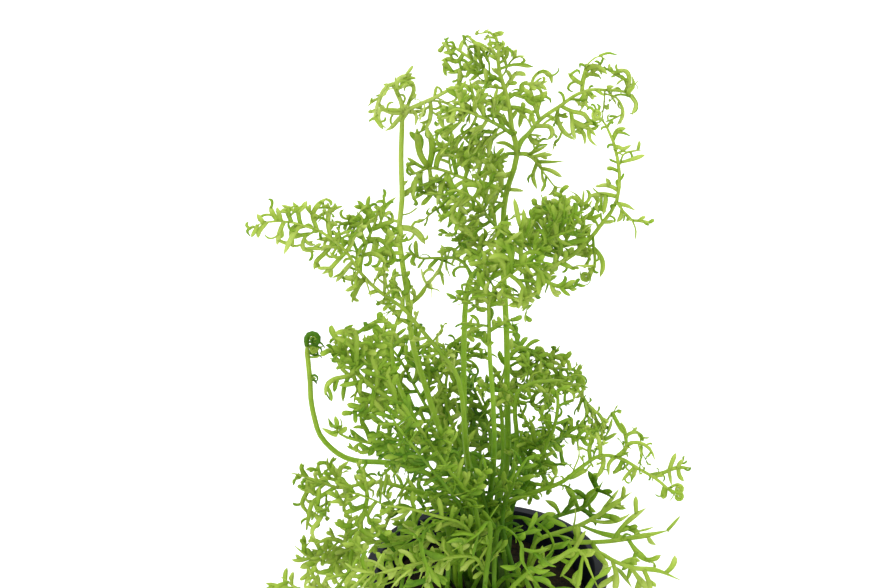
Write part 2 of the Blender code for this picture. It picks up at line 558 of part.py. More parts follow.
            [(668, 472), (672, 485)], [(678, 470), (684, 481)], [(636, 468), (633, 479)],
            [(574, 474), (579, 456), (578, 441)]],
        "knobs": [[(672, 492), (679, 497), (683, 500)], [(668, 489), (677, 489), (684, 490)]],
    },
    "juvenile_front_4": {
        "foot": (4, 243), "girth": (1.1, 0.9), "bare": 0.40,
        "route": [(492, 541, -13), (474, 551, -18), (452, 560, -22), (430, 568, -25),
                  (410, 574, -27), (392, 582, -28), (372, 588, -29)],
        "stalks": [],
        "broad": [[(430, 568), (428, 580), (436, 596)]],
        "narrow": [[(446, 562), (438, 553), (424, 552)], [(412, 575), (404, 588), (396, 600)]],
    },
    "juvenile_front_10": {
        "foot": (4, 294), "girth": (1.1, 0.9), "bare": 0.40,
        "route": [(510, 518, -4), (524, 518, -7), (538, 524, -10), (550, 535, -13), (554, 547, -15),
                  (545, 558, -17)],
        "stalks": [],
        "broad": [[(536, 523), (546, 516), (556, 513)], [(550, 536), (562, 536), (573, 540)]],
        "narrow": [[(553, 548), (562, 546), (570, 540)]],
    },
    "low_left_frond_1": {
        "foot": (1, 222), "girth": (1.1, 0.7), "bare": 0.42,
        "route": [(462, 524, -9), (436, 516, -12), (405, 508, -14), (378, 506, -15), (352, 512, -16),
                  (332, 520, -16), (318, 526, -16), (308, 530, -16)],
        "stalks": [
            [(378, 506), (366, 497), (354, 493), (345, 494)],
            [(352, 512), (346, 505), (338, 501), (329, 503)],
            [(332, 520), (324, 511), (315, 504)],
            [(362, 509), (360, 521), (350, 527)],
            [(395, 507), (386, 497), (380, 490)]],
        "broad": [[(320, 525), (322, 516), (321, 508)]],
        "narrow": [[(318, 526), (312, 534), (316, 540)], [(410, 510), (400, 518), (390, 520)]],
    },
    "low_left_frond_2": {
        "foot": (4, 195), "girth": (1.1, 0.7), "bare": 0.42,
        "route": [(438, 538, -14), (405, 537, -17), (375, 542, -18), (350, 549, -19),
                  (332, 556, -20), (318, 560, -20), (306, 555, -20), (295, 546, -20)],
        "stalks": [
            [(375, 542), (362, 534), (350, 531), (340, 528)],
            [(350, 549), (340, 541), (328, 539), (316, 544)],
            [(362, 545), (357, 556), (351, 568)],
            [(340, 553), (336, 565), (328, 576), (322, 584)],
            [(392, 539), (382, 528), (370, 521)]],
        "broad": [[(318, 560), (309, 564), (300, 568)]],
        "narrow": [[(306, 555), (305, 548), (310, 542)], [(420, 538), (412, 528), (402, 524)],
                   [(405, 538), (396, 548), (386, 552)]],
    },
    "low_left_frond_3": {
        "foot": (1, 257), "girth": (1.1, 0.7), "bare": 0.40,
        "route": [(470, 556, -13), (446, 558, -17), (416, 564, -20), (388, 571, -22), (362, 578, -24),
                  (342, 584, -25), (325, 588, -26), (314, 580, -26), (309, 569, -26)],
        "stalks": [
            [(388, 571), (374, 563), (362, 560)],
            [(362, 578), (354, 569), (345, 563)],
            [(342, 584), (332, 594), (320, 602)],
            [(376, 574), (368, 586), (360, 596)]],
        "broad": [[(325, 588), (312, 590), (304, 586)]],
        "narrow": [[(416, 564), (408, 554), (398, 550)], [(404, 567), (398, 580), (390, 590)]],
    },
    "low_left_frond_4": {
        "foot": (0, 222), "girth": (1.1, 0.7), "bare": 0.36,
        "route": [(446, 548, -12), (424, 560, -16), (396, 574, -20), (368, 588, -24), (342, 597, -27),
                  (318, 597, -29), (300, 590, -30), (281, 577, -30)],
        "stalks": [
            [(342, 598), (330, 608), (316, 614)],
            [(318, 597), (304, 604), (290, 606)]],
        "broad": [[(300, 590), (284, 589), (266, 583)], [(368, 592), (356, 604), (346, 616)]],
        "narrow": [[(306, 593), (306, 583), (311, 580)], [(356, 596), (350, 588), (344, 584)],
                   [(318, 597), (312, 588), (314, 580)]],
    },
    "juvenile_front_11": {
        "foot": (0, 222), "girth": (1.1, 0.9), "bare": 0.40,
        "route": [(446, 530, -8), (424, 530, -11), (402, 538, -14), (384, 545, -15),
                  (366, 544, -16)],
        "stalks": [],
        "broad": [[(404, 537), (400, 548), (392, 556)]],
        "narrow": [[(420, 531), (412, 524), (402, 522)], [(388, 544), (380, 536), (370, 534)]],
    },
    "front_upright_left": {
        "foot": (4, 210), "girth": (1.1, 0.8), "bare": 0.42,
        "route": [(472, 508, -8), (459, 486, -11), (447, 468, -13), (438, 454, -14)],
        "stalks": [],
        "broad": [[(460, 488), (451, 477), (448, 462)], [(465, 497), (452, 493), (440, 489)]],
        "narrow": [[(452, 475), (442, 474), (432, 470)], [(448, 470), (446, 460), (449, 450)]],
    },
    "front_upright_right": {
        "foot": (4, 310), "girth": (1.1, 0.8), "bare": 0.42,
        "route": [(503, 512, -8), (511, 490, -11), (518, 472, -13), (528, 457, -14)],
        "stalks": [],
        "broad": [[(509, 496), (504, 484), (504, 471)], [(514, 483), (526, 478), (536, 475)]],
        "narrow": [[(519, 471), (514, 462), (516, 451)], [(507, 502), (518, 497), (530, 496)]],
    },
    "juvenile_right_1": {
        "foot": (0, 346), "girth": (1.2, 0.9), "bare": 0.55,
        "route": [(538, 540, 2), (560, 532, 3), (580, 525, 4), (600, 514, 5), (614, 504, 5.5),
                  (632, 492, 6)],
        "stalks": [],
        "broad": [[(600, 514), (609, 502), (619, 489)]],
        "narrow": [[(614, 504), (620, 506), (626, 505)], [(590, 519), (606, 521), (622, 519), (631, 513)],
                   [(580, 525), (597, 532), (614, 536), (630, 537)]],
    },
    "juvenile_right_2": {
        "foot": (0, 4), "girth": (1.3, 1.1), "bare": 0.60,
        "route": [(545, 522, 8), (566, 513, 10), (582, 508, 11), (593, 497, 12), (603, 481, 13)],
        "stalks": [],
        "broad": [[(578, 509), (573, 496), (564, 484)], [(584, 506), (590, 494), (600, 486)]],
        "narrow": [[(573, 498), (579, 497), (585, 498)], [(588, 503), (591, 510), (596, 512)],
                   [(560, 515), (554, 505), (545, 500)]],
    },
    "juvenile_right_3": {
        "foot": (0, 328), "girth": (1.3, 0.9), "bare": 0.48,
        "route": [(540, 552, -4), (570, 543, -5), (596, 542, -6), (612, 541, -6),
                  (630, 538, -6.5), (648, 535, -7), (670, 530, -7)],
        "stalks": [],
        "broad": [[(610, 541), (620, 528), (633, 517), (646, 508)], [(626, 539), (638, 553), (650, 563)]],
        "narrow": [[(636, 537), (644, 530), (654, 527)], [(646, 536), (650, 541), (656, 545)],
                   [(644, 558), (652, 559), (661, 555)], [(648, 562), (655, 564), (653, 570)]],
    },
    "juvenile_right_4": {
        "foot": (0, 312), "girth": (1.3, 0.9), "bare": 0.46,
        "route": [(540, 566, -9), (572, 554, -11), (598, 552, -13), (614, 561, -14),
                  (634, 568, -15), (656, 570, -16), (680, 580, -17)],
        "stalks": [],
        "broad": [[(632, 567), (640, 580), (652, 594)], [(612, 560), (616, 574), (614, 596)]],
        "narrow": [[(616, 565), (624, 576), (632, 588)], [(600, 553), (606, 566), (598, 576)]],
    },
    "juvenile_right_5": {
        "foot": (0, 296), "girth": (1.2, 0.9), "bare": 0.50,
        "route": [(530, 572, -13), (556, 560, -15), (576, 550, -16), (584, 556, -18),
                  (589, 568, -19), (598, 588, -20)],
        "stalks": [],
        "broad": [[(580, 552), (570, 564), (560, 577)], [(583, 554), (580, 572), (576, 592)]],
        "narrow": [[(562, 574), (572, 581), (580, 590)], [(594, 580), (603, 574), (612, 566)]],
    },
    "juvenile_front_1": {
        "foot": (0, 280), "girth": (1.1, 0.9), "bare": 0.45,
        "route": [(508, 576, -14), (524, 576, -18), (540, 580, -20), (556, 590, -22),
                  (568, 602, -24)],
        "stalks": [],
        "broad": [[(524, 576), (530, 590), (528, 606)]],
        "narrow": [[(540, 580), (548, 574), (556, 575)], [(528, 592), (538, 600), (542, 610)]],
    },
    "juvenile_front_5": {
        "foot": (0, 214), "girth": (1.1, 0.9), "bare": 0.36,
        "route": [(448, 540, -9), (424, 540, -11), (402, 549, -12), (384, 559, -13),
                  (370, 567, -13)],
        "stalks": [],
        "broad": [[(424, 540), (410, 532), (398, 530)], [(410, 545), (412, 558), (416, 566)]],
        "narrow": [[(436, 539), (428, 528), (420, 520)], [(400, 550), (390, 544), (380, 545)]],
    },
    "juvenile_front_6": {
        "foot": (4, 258), "girth": (1.1, 0.9), "bare": 0.45,
        "route": [(487, 522, -9), (478, 533, -14), (465, 543, -18), (452, 551, -20)],
        "stalks": [],
        "broad": [[(476, 535), (462, 533), (450, 536)]],
        "narrow": [[(464, 544), (456, 540), (446, 543)]],
    },
    "juvenile_front_7": {
        "foot": (4, 228), "girth": (1.1, 0.9), "bare": 0.45,
        "route": [(440, 523, -14), (428, 528, -18), (421, 540, -21), (423, 556, -23),
                  (428, 572, -25), (422, 588, -26)],
        "stalks": [],
        "broad": [[(422, 548), (434, 556), (446, 557)], [(427, 566), (434, 576), (441, 588)]],
        "narrow": [[(422, 538), (412, 533), (402, 534)]],
    },
    "juvenile_front_8": {
        "foot": (0, 200), "girth": (1.1, 0.9), "bare": 0.40,
        "route": [(450, 512, -4), (432, 508, -8), (416, 512, -10), (406, 524, -12), (402, 538, -13),
                  (408, 552, -14)],
        "stalks": [],
        "broad": [[(416, 512), (404, 506), (392, 508)], [(405, 526), (394, 534), (384, 540)]],
        "narrow": [[(426, 509), (420, 500), (412, 496)]],
    },
    "juvenile_front_9": {
        "foot": (4, 276), "girth": (1.1, 0.9), "bare": 0.40,
        "route": [(503, 527, -9), (514, 534, -13), (522, 546, -17), (522, 560, -20), (530, 574, -23),
                  (540, 588, -24)],
        "stalks": [],
        "broad": [[(516, 537), (530, 532), (542, 530)], [(522, 548), (536, 552), (548, 548)]],
        "narrow": [[(523, 562), (512, 568), (500, 566)], [(528, 570), (540, 572), (550, 570)]],
    },
    "front_upright_middle": {
        "foot": (1, 276), "girth": (1.1, 0.8), "bare": 0.42,
        "route": [(487, 512, -5), (482, 490, -7), (480, 470, -8), (484, 452, -9)],
        "stalks": [],
        "broad": [[(483, 492), (474, 482), (469, 470)], [(485, 500), (495, 491), (501, 480)]],
        "narrow": [[(481, 478), (489, 470), (493, 460)], [(480, 472), (474, 462), (473, 452)]],
    },
    "back_left_frond": {
        "foot": (0, 135), "girth": (1.15, 0.7), "bare": 0.34,
        "route": [(466, 500, 10), (450, 476, 15), (432, 458, 20), (414, 447, 24), (396, 444, 27),
                  (382, 449, 29)],
        "stalks": [
            [(432, 464), (424, 452), (420, 440)],
            [(414, 456), (408, 446), (400, 440)],
            [(424, 460), (418, 472), (410, 482)],
            [(404, 456), (398, 468), (392, 478)],
            [(440, 470), (444, 456), (440, 446)]],
        "broad": [[(396, 456), (388, 450), (380, 450)]],
        "narrow": [[(450, 480), (440, 486), (430, 488)]],
    },
    "back_centre_frond": {
        "foot": (0, 92), "girth": (1.15, 0.7), "bare": 0.34,
        "route": [(482, 484, 12), (480, 460, 18), (482, 440, 24), (487, 426, 28), (494, 418, 31)],
        "stalks": [
            [(482, 446), (472, 438), (468, 428)],
            [(487, 432), (480, 422), (482, 412)],
            [(482, 446), (492, 444), (502, 446)],
            [(480, 458), (470, 454), (462, 450)],
            [(481, 455), (492, 456), (500, 460)]],
        "broad": [[(490, 430), (498, 434), (506, 436)]],
        "narrow": [[(480, 468), (488, 466), (494, 470)]],
    },
    "back_right_frond": {
        "foot": (0, 56), "girth": (1.15, 0.7), "bare": 0.34,
        "route": [(498, 492, 10), (512, 470, 15), (526, 454, 20), (540, 446, 24), (553, 446, 27),
                  (562, 453, 29)],
        "stalks": [
            [(526, 458), (526, 446), (532, 436)],
            [(540, 452), (544, 442), (552, 438)],
            [(530, 456), (538, 464), (548, 468)],
            [(516, 468), (524, 474), (534, 476)],
            [(514, 470), (510, 456), (514, 446)]],
        "broad": [[(544, 453), (548, 462), (546, 472)]],
        "narrow": [[(508, 478), (516, 484), (524, 486)]],
    },
    "back_upright_frond": {
        "foot": (2, 78), "girth": (1.15, 0.7), "bare": 0.40,
        "route": [(492, 478, 9), (492, 452, 16), (488, 425, 22), (480, 402, 27), (473, 386, 31),
                  (474, 375, 34)],
        "stalks": [
            [(471, 402), (462, 396), (456, 386)],
            [(469, 392), (478, 388), (484, 380)],
            [(474, 412), (484, 408), (490, 398)],
            [(476, 420), (466, 418), (458, 412)],
            [(468, 386), (460, 378), (460, 370)]],
        "broad": [[(480, 434), (488, 428), (494, 420)]],
        "narrow": [[(482, 440), (474, 440), (466, 436)]],
    },
}


def place(spots, depths):
    """Points seen at (across, down) in the front view, on the upright planes at those depths."""
    spots = np.asarray(spots, dtype=float)
    right = (spots[:, 0] - VIEW_CENTRE[0]) / VIEW_FOCAL
    rise = (VIEW_CENTRE[1] - spots[:, 1]) / VIEW_FOCAL
    forward = math.cos(VIEW_TILT) + rise * math.sin(VIEW_TILT)
    up = rise * math.cos(VIEW_TILT) - math.sin(VIEW_TILT)
    reach = (np.asarray(depths) - EYE[1]) / forward
    return EYE + np.stack((right, forward, up), axis=1) * reach[:, None]


def route_points(spec):
    route = np.array(spec["route"], dtype=float)
    return place(route[:, :2], route[:, 2] * MM)


def seen_at(points):
    """Where points show in the front view."""
    offset = np.asarray(points) - EYE
    away = offset[..., 1] * math.cos(VIEW_TILT) - offset[..., 2] * math.sin(VIEW_TILT)
    rise = offset[..., 1] * math.sin(VIEW_TILT) + offset[..., 2] * math.cos(VIEW_TILT)
    across = VIEW_CENTRE[0] + VIEW_FOCAL * offset[..., 0] / away
    down = VIEW_CENTRE[1] - VIEW_FOCAL * rise / away
    return np.stack((across, down), axis=-1)


def smooth(points, spacing=PATH_STEP):
    """A curve through the points, as points at an even spacing."""
    points = np.array(points)
    knots = distances(points)
    slopes = np.gradient(points, knots, axis=0)
    along = np.linspace(0.0, knots[-1], max(3, round(knots[-1] / spacing) + 1))
    cell = np.clip(np.searchsorted(knots, along, side="right") - 1, 0, len(knots) - 2)
    span = np.diff(knots)[cell][:, None]
    u = (along - knots[cell])[:, None] / span
    start = (2 * u ** 3 - 3 * u ** 2 + 1) * points[cell] + (u ** 3 - 2 * u ** 2 + u) * span * slopes[cell]
    end = (3 * u ** 2 - 2 * u ** 3) * points[cell + 1] + (u ** 3 - u ** 2) * span * slopes[cell + 1]
    return start + end


def unit(vector):
    return vector / max(np.linalg.norm(vector), 1e-9)


def distances(path):
    """Length along a path at each of its points."""
    return np.concatenate(([0.0], np.cumsum(np.linalg.norm(np.diff(path, axis=0), axis=1))))


def corners_of(path):
    """The points where a straight-sided path has to turn to follow a curve within FACET_BOW."""
    kept = {0, len(path) - 1}
    spans = [(0, len(path) - 1)]
    while spans:
        low, high = spans.pop()
        offset = path[low:high + 1] - path[low]
        chord = unit(path[high] - path[low])
        away = np.linalg.norm(offset - np.outer(offset @ chord, chord), axis=1)
        worst = low + int(np.argmax(away))
        if away.max() > FACET_BOW:
            kept.add(worst)
            spans += [(low, worst), (worst, high)]
    return sorted(kept)


def straight_sided(path):
    """The same path with straight sides between its corners, as points at an even spacing."""
    corners = path[corners_of(path)]
    pieces = []
    for low, high in zip(corners, corners[1:]):
        count = max(1, round(np.linalg.norm(high - low) / PATH_STEP))
        pieces.append(low + (high - low) * np.arange(count)[:, None] / count)
    return np.vstack(pieces + [corners[-1:]]), distances(corners)


class Taken:
    """The space that stalks and leaves already fill, as balls along them."""

    def __init__(self):
        self.centres = np.zeros((0, 3))
        self.radii = np.zeros(0)

    def add(self, path, radius):
        self.centres = np.vstack((self.centres, path))
        self.radii = np.concatenate((self.radii, np.full(len(path), radius)))

    def room(self, path, radius):
        """Smallest clear distance between a path of that radius and everything taken near it."""
        low, high = path.min(axis=0) - SEARCH_REACH, path.max(axis=0) + SEARCH_REACH
        near = ((self.centres > low) & (self.centres < high)).all(axis=1)
        if not near.any():
            return SEARCH_REACH
        reach = np.linalg.norm(path[:, None, :] - self.centres[None, near, :], axis=2)
        return float((reach - self.radii[None, near]).min() - radius)

    def beyond(self, centre, reach):
        """All that is taken farther than that from a point."""
        far = np.linalg.norm(self.centres - centre, axis=1) > reach
        rest = Taken()
        rest.add(self.centres[far], 0.0)
        rest.radii = self.radii[far]
        return rest


def clear_of_pot(path, radius):
    """True if the path stays out of the pot's wall and rim, above the plug and off the crown."""
    reach = np.hypot(path[:, 0], path[:, 1])
    margin = radius + CLEARANCE
    widths, heights = zip(*CROWN_PROFILE)
    crown = np.interp(path[:, 2], heights, widths, right=-1.0)
    low = path[:, 2] < POT_HEIGHT + margin
    in_rim = low & (reach > WALL_TOP_RADIUS - WALL - margin) & (reach < RIM_RADIUS + margin)
    in_plug = (path[:, 2] < PLUG_TOP + margin) & (reach < RIM_RADIUS)
    return not (in_rim | in_plug | (reach < crown + margin)).any() and path[:, 2].min() > margin


def strays():
    """Depth changes to try, from none outwards to both sides."""
    yield 0.0
    for step in range(1, STRAY_TRIES + 1):
        yield step * STRAY_STEP
        yield -step * STRAY_STEP


def pushed(points, stray, ramp):
    """The points moved in depth but not in the front view, fully so from that share of the length on."""
    share = distances(points)
    share = np.minimum(1.0, share / (ramp * share[-1]))
    moved = place(seen_at(points), points[:, 1] + share * stray)
    moved[0] = points[0]
    return moved


def settle(points, radius, taken, skip):
    """A path near the points that keeps clear of all that is taken, past its first stretch."""
    for share in (1.0, 0.7):
        kept = points[:max(3, round(share * len(points)))]
        for stray in strays():
            for ramp in (0.45, 0.2):
                path, turns = straight_sided(pushed(kept, stray, ramp))
                free = path[distances(path) > skip]
                if len(free) and clear_of_pot(free, radius) and taken.room(free, radius) > CLEARANCE:
                    return path, turns
    return None


def frames(path, facing):
    """Along, side and face directions at each point of a path."""
    along = np.gradient(path, axis=0)
    along /= np.linalg.norm(along, axis=1)[:, None]
    face = np.zeros_like(along)
    last = facing
    for index, ahead in enumerate(along):
        kept = last + 0.08 * facing
        last = unit(kept - ahead * ahead.dot(kept))
        face[index] = last
    return along, np.cross(along, face), face


class Shoot:
    """A stalk, leaf or bud: its path, its thickness and the stretches that its own shoots grow from."""

    def __init__(self, kind, path, turns, halves, facing, bare=0.0):
        self.kind = kind
        self.path = path
        self.turns = turns
        self.halves = halves
        self.bare = bare
        self.lengths = distances(path)
        self.total = self.lengths[-1]
        self.along, self.side, self.face = frames(path, facing)
        self.slots = []

    def index_at(self, position):
        return min(int(np.searchsorted(self.lengths, position - 1e-9)), len(self.path) - 1)

    def half_at(self, position):
        return self.halves[0] + (self.halves[1] - self.halves[0]) * position / self.total

    def free_slot(self, position, width, hand):
        """The nearest stretch with that side free: opposite or beside another shoot's, or on its own."""
        low_end, high_end = 0.0008, self.total - 0.0005
        options = []
        starts = [position - width / 2 + shift * 0.0002 for shift in range(-24, 25)]
        for low, high, _, _ in self.slots:
            held = {slot[2] for slot in self.slots if slot[0] == low}
            for other in {1, -1} - held:
                cost = abs((low + high) / 2 - position) + 0.0014 * (other != hand)
                options.append((cost, low, high, other))
            starts += [high, low - width]
        for start in starts:
            low = min(max(start, low_end), high_end - width)
            gaps = [max(low - slot[1], slot[0] - low - width) for slot in self.slots]
            if low > low_end - 1e-9 and all(abs(gap) < 1e-7 or gap > 0.0003 for gap in gaps):
                beside = any(abs(gap) < 1e-7 for gap in gaps)
                cost = abs(low + width / 2 - position) + SHARE_REACH * (0.6 if beside else 1.0)
                options.append((cost, low, low + width, hand))
        return min(options)[1:] if options else None

    def stations(self):
        """Ring places: the ends of each shoot's stretch, the turns, and the last before the tip."""
        marks = sorted({round(value, 7) for slot in self.slots for value in slot[:2]})
        wanted = list(self.turns[1:-1])
        if self.kind == "knobs":
            wanted = [self.total - factor * KNOB_RADIUS for factor in (1.7, 0.9, 0.2)]
        elif self.kind in ("stalks", "route") and self.total - max(marks + wanted + [0.0]) > 0.0045:
            wanted.append(self.total - 0.0022)
        elif self.kind == "broad" and not wanted:
            wanted = [self.total * 0.45]
        for value in wanted:
            if value > 0.0006 and all(abs(value - mark) > 0.0006 for mark in marks) and not self.holding(value):
                marks.append(value)
        return sorted(marks + [0.0] if self.kind == "route" else marks)

    def holding(self, position):
        return any(slot[0] - 1e-6 < position < slot[1] + 1e-6 for slot in self.slots)


def foot_of(spec, radius, roots, turn=0.0):
    """Where a frond starts: on a whorl of the crown, or just off its parent's side."""
    first = route_points(spec)[0]
    if isinstance(spec["foot"][0], str):
        parent = roots[spec["foot"][0]]
        nearest = int(np.argmin(np.linalg.norm(seen_at(parent.path) - np.array(spec["foot"][1]), axis=1)))
        away = first - parent.path[nearest]
        away = unit(away - parent.along[nearest] * parent.along[nearest].dot(away))
        gap = (parent.half_at(parent.lengths[nearest]) + radius) * 1.45 + CLEARANCE
        return parent.path[nearest] + away * gap
    whorl, bearing = spec["foot"]
    reach, height = WHORLS[whorl]
    angle = math.radians(bearing + turn)
    return np.array((reach * math.cos(angle), reach * math.sin(angle), height))


def settle_route(spec, radius, taken, roots):
    """A frond's main stalk, its foot turned a little round the crown if that gives it room."""
    on_crown = isinstance(spec["foot"][0], int)
    for turn in (0.0, 7.0, -7.0, 14.0, -14.0, 21.0, -21.0, 30.0, -30.0) if on_crown else (0.0,):
        foot = foot_of(spec, radius, roots, turn)
        points = smooth(np.vstack((foot, route_points(spec))))
        found = settle(points, radius * SECTION_REACH, taken, 0.0)
        if found is not None:
            return found
    return None


def grow_routes(taken):
    """Settle every frond's main stalk, the ones on the crown first."""
    roots = {}
    for name, spec in FRONDS.items():
        halves = [girth * MM / 2 for girth in spec["girth"]]
        found = settle_route(spec, halves[0], taken, roots)
        if found is None:
            continue
        path, turns = found
        taken.add(path, halves[0] * SECTION_REACH)
        roots[name] = Shoot("route", path, turns, halves, unit(EYE - path[-1]), spec["bare"])
    return roots


def nearest_shoot(shoots, spot):
    """The shoot, and the place along it, that shows nearest to a place in the front view."""
    best = None
    for shoot in shoots:
        gaps = np.linalg.norm(seen_at(shoot.path) - np.array(spot), axis=1)
        index = int(np.argmin(gaps))
        if best is None or gaps[index] < best[2]:
            best = (shoot, index, gaps[index])
    return best[0], best[1]


def grow_branch(kind, trace, parent, index, turn, taken):
    """Settle one piece of a frond on the side of its parent, or nothing if it finds no room."""
    half = (BROAD_WIDTH if kind == "broad" else BRANCH_WIDTH) / 2
    trace = np.array(trace, dtype=float)
    start = parent.path[index]
    ahead = place(trace[1:2], start[1:2])[0] - start
    hand = 1 if ahead.dot(parent.side[index]) > 0 else -1
    slot = parent.free_slot(parent.lengths[index], half * 2.1, hand)
    if slot is None:
        return None
    low, high, hand = slot
    index = parent.index_at((low + high) / 2)
    reach = parent.half_at((low + high) / 2)
    base = parent.path[index] + parent.side[index] * hand * reach
    swing = 0.00008 * np.linalg.norm(np.diff(trace, axis=0), axis=1).sum() * math.sin(2.4 * turn)
    depths = base[1] + swing * np.linspace(0.0, 1.0, len(trace))
    points = smooth(np.vstack((base, place(trace, depths)[1:])))
    radius = KNOB_RADIUS if kind == "knobs" else half
    found = settle(points, radius, taken, 0.0009 + radius)
    if found is None:
        return None
    shoot = Shoot(kind, *found, (half, half * 0.55), parent.face[index], 0.12)
    parent.slots.append((low, high, hand, shoot))
    taken.add(shoot.path, radius)
    return shoot


def grow_branches(name, root, taken):
    """Settle what grows on one frond: each piece leaves the nearest stalk and keeps clear."""
    shoots = [root]
    turn = 0
    for kind in ("stalks", "broad", "narrow", "knobs"):
        for trace in FRONDS[name].get(kind, []):
            turn += 1
            parent, index = nearest_shoot(shoots, trace[0])
            shoot = grow_branch(kind, trace, parent, index, turn, taken)
            if shoot is not None and kind in ("stalks", "broad"):
                shoots.append(shoot)


class Builder:
    """Makes one frond's closed mesh: square-section shoots that grow out of each other's sides."""

    def __init__(self, taken):
        self.mesh = bmesh.new()
        self.taken = taken

    def ring(self, shoot, position):
        index = shoot.index_at(position)
        half = shoot.half_at(position)
        depth = half if shoot.kind in ("route", "knobs") else min(half, LEAF_THICKNESS / 2)
        if shoot.kind == "knobs" and position > shoot.total - 1.8 * KNOB_RADIUS:
            swell = 0.95 if abs(position - shoot.total + 0.9 * KNOB_RADIUS) < 0.0002 else 0.65
            half = depth = KNOB_RADIUS * swell
        across = shoot.side[index] * half
        deep = shoot.face[index] * depth
        centre = shoot.path[index]
        return [self.mesh.verts.new(centre + a * across + b * deep)
                for a, b in ((1, 1), (-1, 1), (-1, -1), (1, -1))]

    def spike(self, corners, tip):
        apex = self.mesh.verts.new(tip)
        for index in range(4):
            self.mesh.faces.new((corners[(index + 1) % 4], corners[index], apex))

    def grow(self, shoot, start=None):
        """One shoot and all that grows on it, from a side face of its parent or from its foot."""
        previous, previous_at = start, 0.0
        for position in shoot.stations():
            ring = self.ring(shoot, position)
            if previous is None:
                self.mesh.faces.new(ring)
            else:
                self.join(shoot, previous, ring, previous_at, position)
            previous, previous_at = ring, position
        reach = KNOB_RADIUS * 0.3 if shoot.kind == "knobs" else 0.0002
        self.spike(previous, shoot.path[-1] + shoot.along[-1] * reach)

    def join(self, shoot, low_ring, high_ring, low, high):
        """The four faces between two rings, with a child or a tooth grown from either side."""
        self.mesh.faces.new((low_ring[1], low_ring[0], high_ring[0], high_ring[1]))
        self.mesh.faces.new((low_ring[3], low_ring[2], high_ring[2], high_ring[3]))
        left = (high_ring[1], low_ring[1], low_ring[2], high_ring[2])
        right = (low_ring[0], high_ring[0], high_ring[3], low_ring[3])
        for hand, corners in ((-1, left), (1, right)):
            children = [slot[3] for slot in shoot.slots if slot[2] == hand
                        and slot[0] < (low + high) / 2 < slot[1]]
            if children:
                self.grow(children[0], corners)
            elif not self.tooth(shoot, corners, hand, low, high):
                self.mesh.faces.new(corners[::-1])

    def tooth(self, shoot, corners, hand, low, high):
        """A small pointed leaf on a leafy stretch's side, if there is room for it."""
        middle = (low + high) / 2
        leafy = shoot.kind in ("stalks", "route") and low > shoot.bare * shoot.total - 1e-6
        if not leafy or not TOOTH_STRETCH[0] < high - low < TOOTH_STRETCH[1]:
            return False
        index = shoot.index_at(middle)
        share = middle / shoot.total
        length = TOOTH_LENGTH * (1.15 - 0.5 * share)
        lean = shoot.face[index] * 0.35 * math.sin(5.0 * share + hand + 700 * shoot.total)
        direction = unit(shoot.along[index] * math.cos(TOOTH_LEAN)
                         + shoot.side[index] * (hand * math.sin(TOOTH_LEAN)) + lean)
        base = shoot.path[index]
        probe = base + direction * np.linspace(0.55, 1.0, 4)[:, None] * length
        if not clear_of_pot(probe, 0.0002) or self.taken.beyond(base, 0.0022).room(probe, 0.0002) < CLEARANCE:
            return False
        self.taken.add(probe, 0.0003)
        self.spike(corners, base + direction * length)
        return True


def make_object(name, mesh_builder, material):
    mesh = bpy.data.meshes.new(name)
    mesh_builder.to_mesh(mesh)
    mesh_builder.free()
    mesh.materials.append(material)
    thing = bpy.data.objects.new(name, mesh)
    bpy.context.scene.collection.objects.link(thing)
    return thing


def make_material(name, colour, roughness):
    material = bpy.data.materials.new(name)
    material.use_nodes = True
    shader = material.node_tree.nodes["Principled BSDF"]
    shader.inputs["Base Color"].default_value = colour
    shader.inputs["Roughness"].default_value = roughness
    return material


def turned(profile, sides, close_top=True, close_bottom=True):
    """A turned solid from (radius, height) pairs, listed upwards."""
    build = bmesh.new()
    rings = []
    for radius, height in profile:
        rings.append([build.verts.new((radius * math.cos(2 * math.pi * k / sides),
                                       radius * math.sin(2 * math.pi * k / sides), height))
                      for k in range(sides)])
    for low, high in zip(rings, rings[1:]):
        for k in range(sides):
            build.faces.new((low[k], low[(k + 1) % sides], high[(k + 1) % sides], high[k]))
    if close_bottom:
        build.faces.new(list(reversed(rings[0])))
    if close_top:
        build.faces.new(rings[-1])
    return build


def wall_radius(height):
    """Outside radius of the tapering pot wall."""
    return FOOT_RADIUS + (WALL_TOP_RADIUS - FOOT_RADIUS) * height / POT_HEIGHT


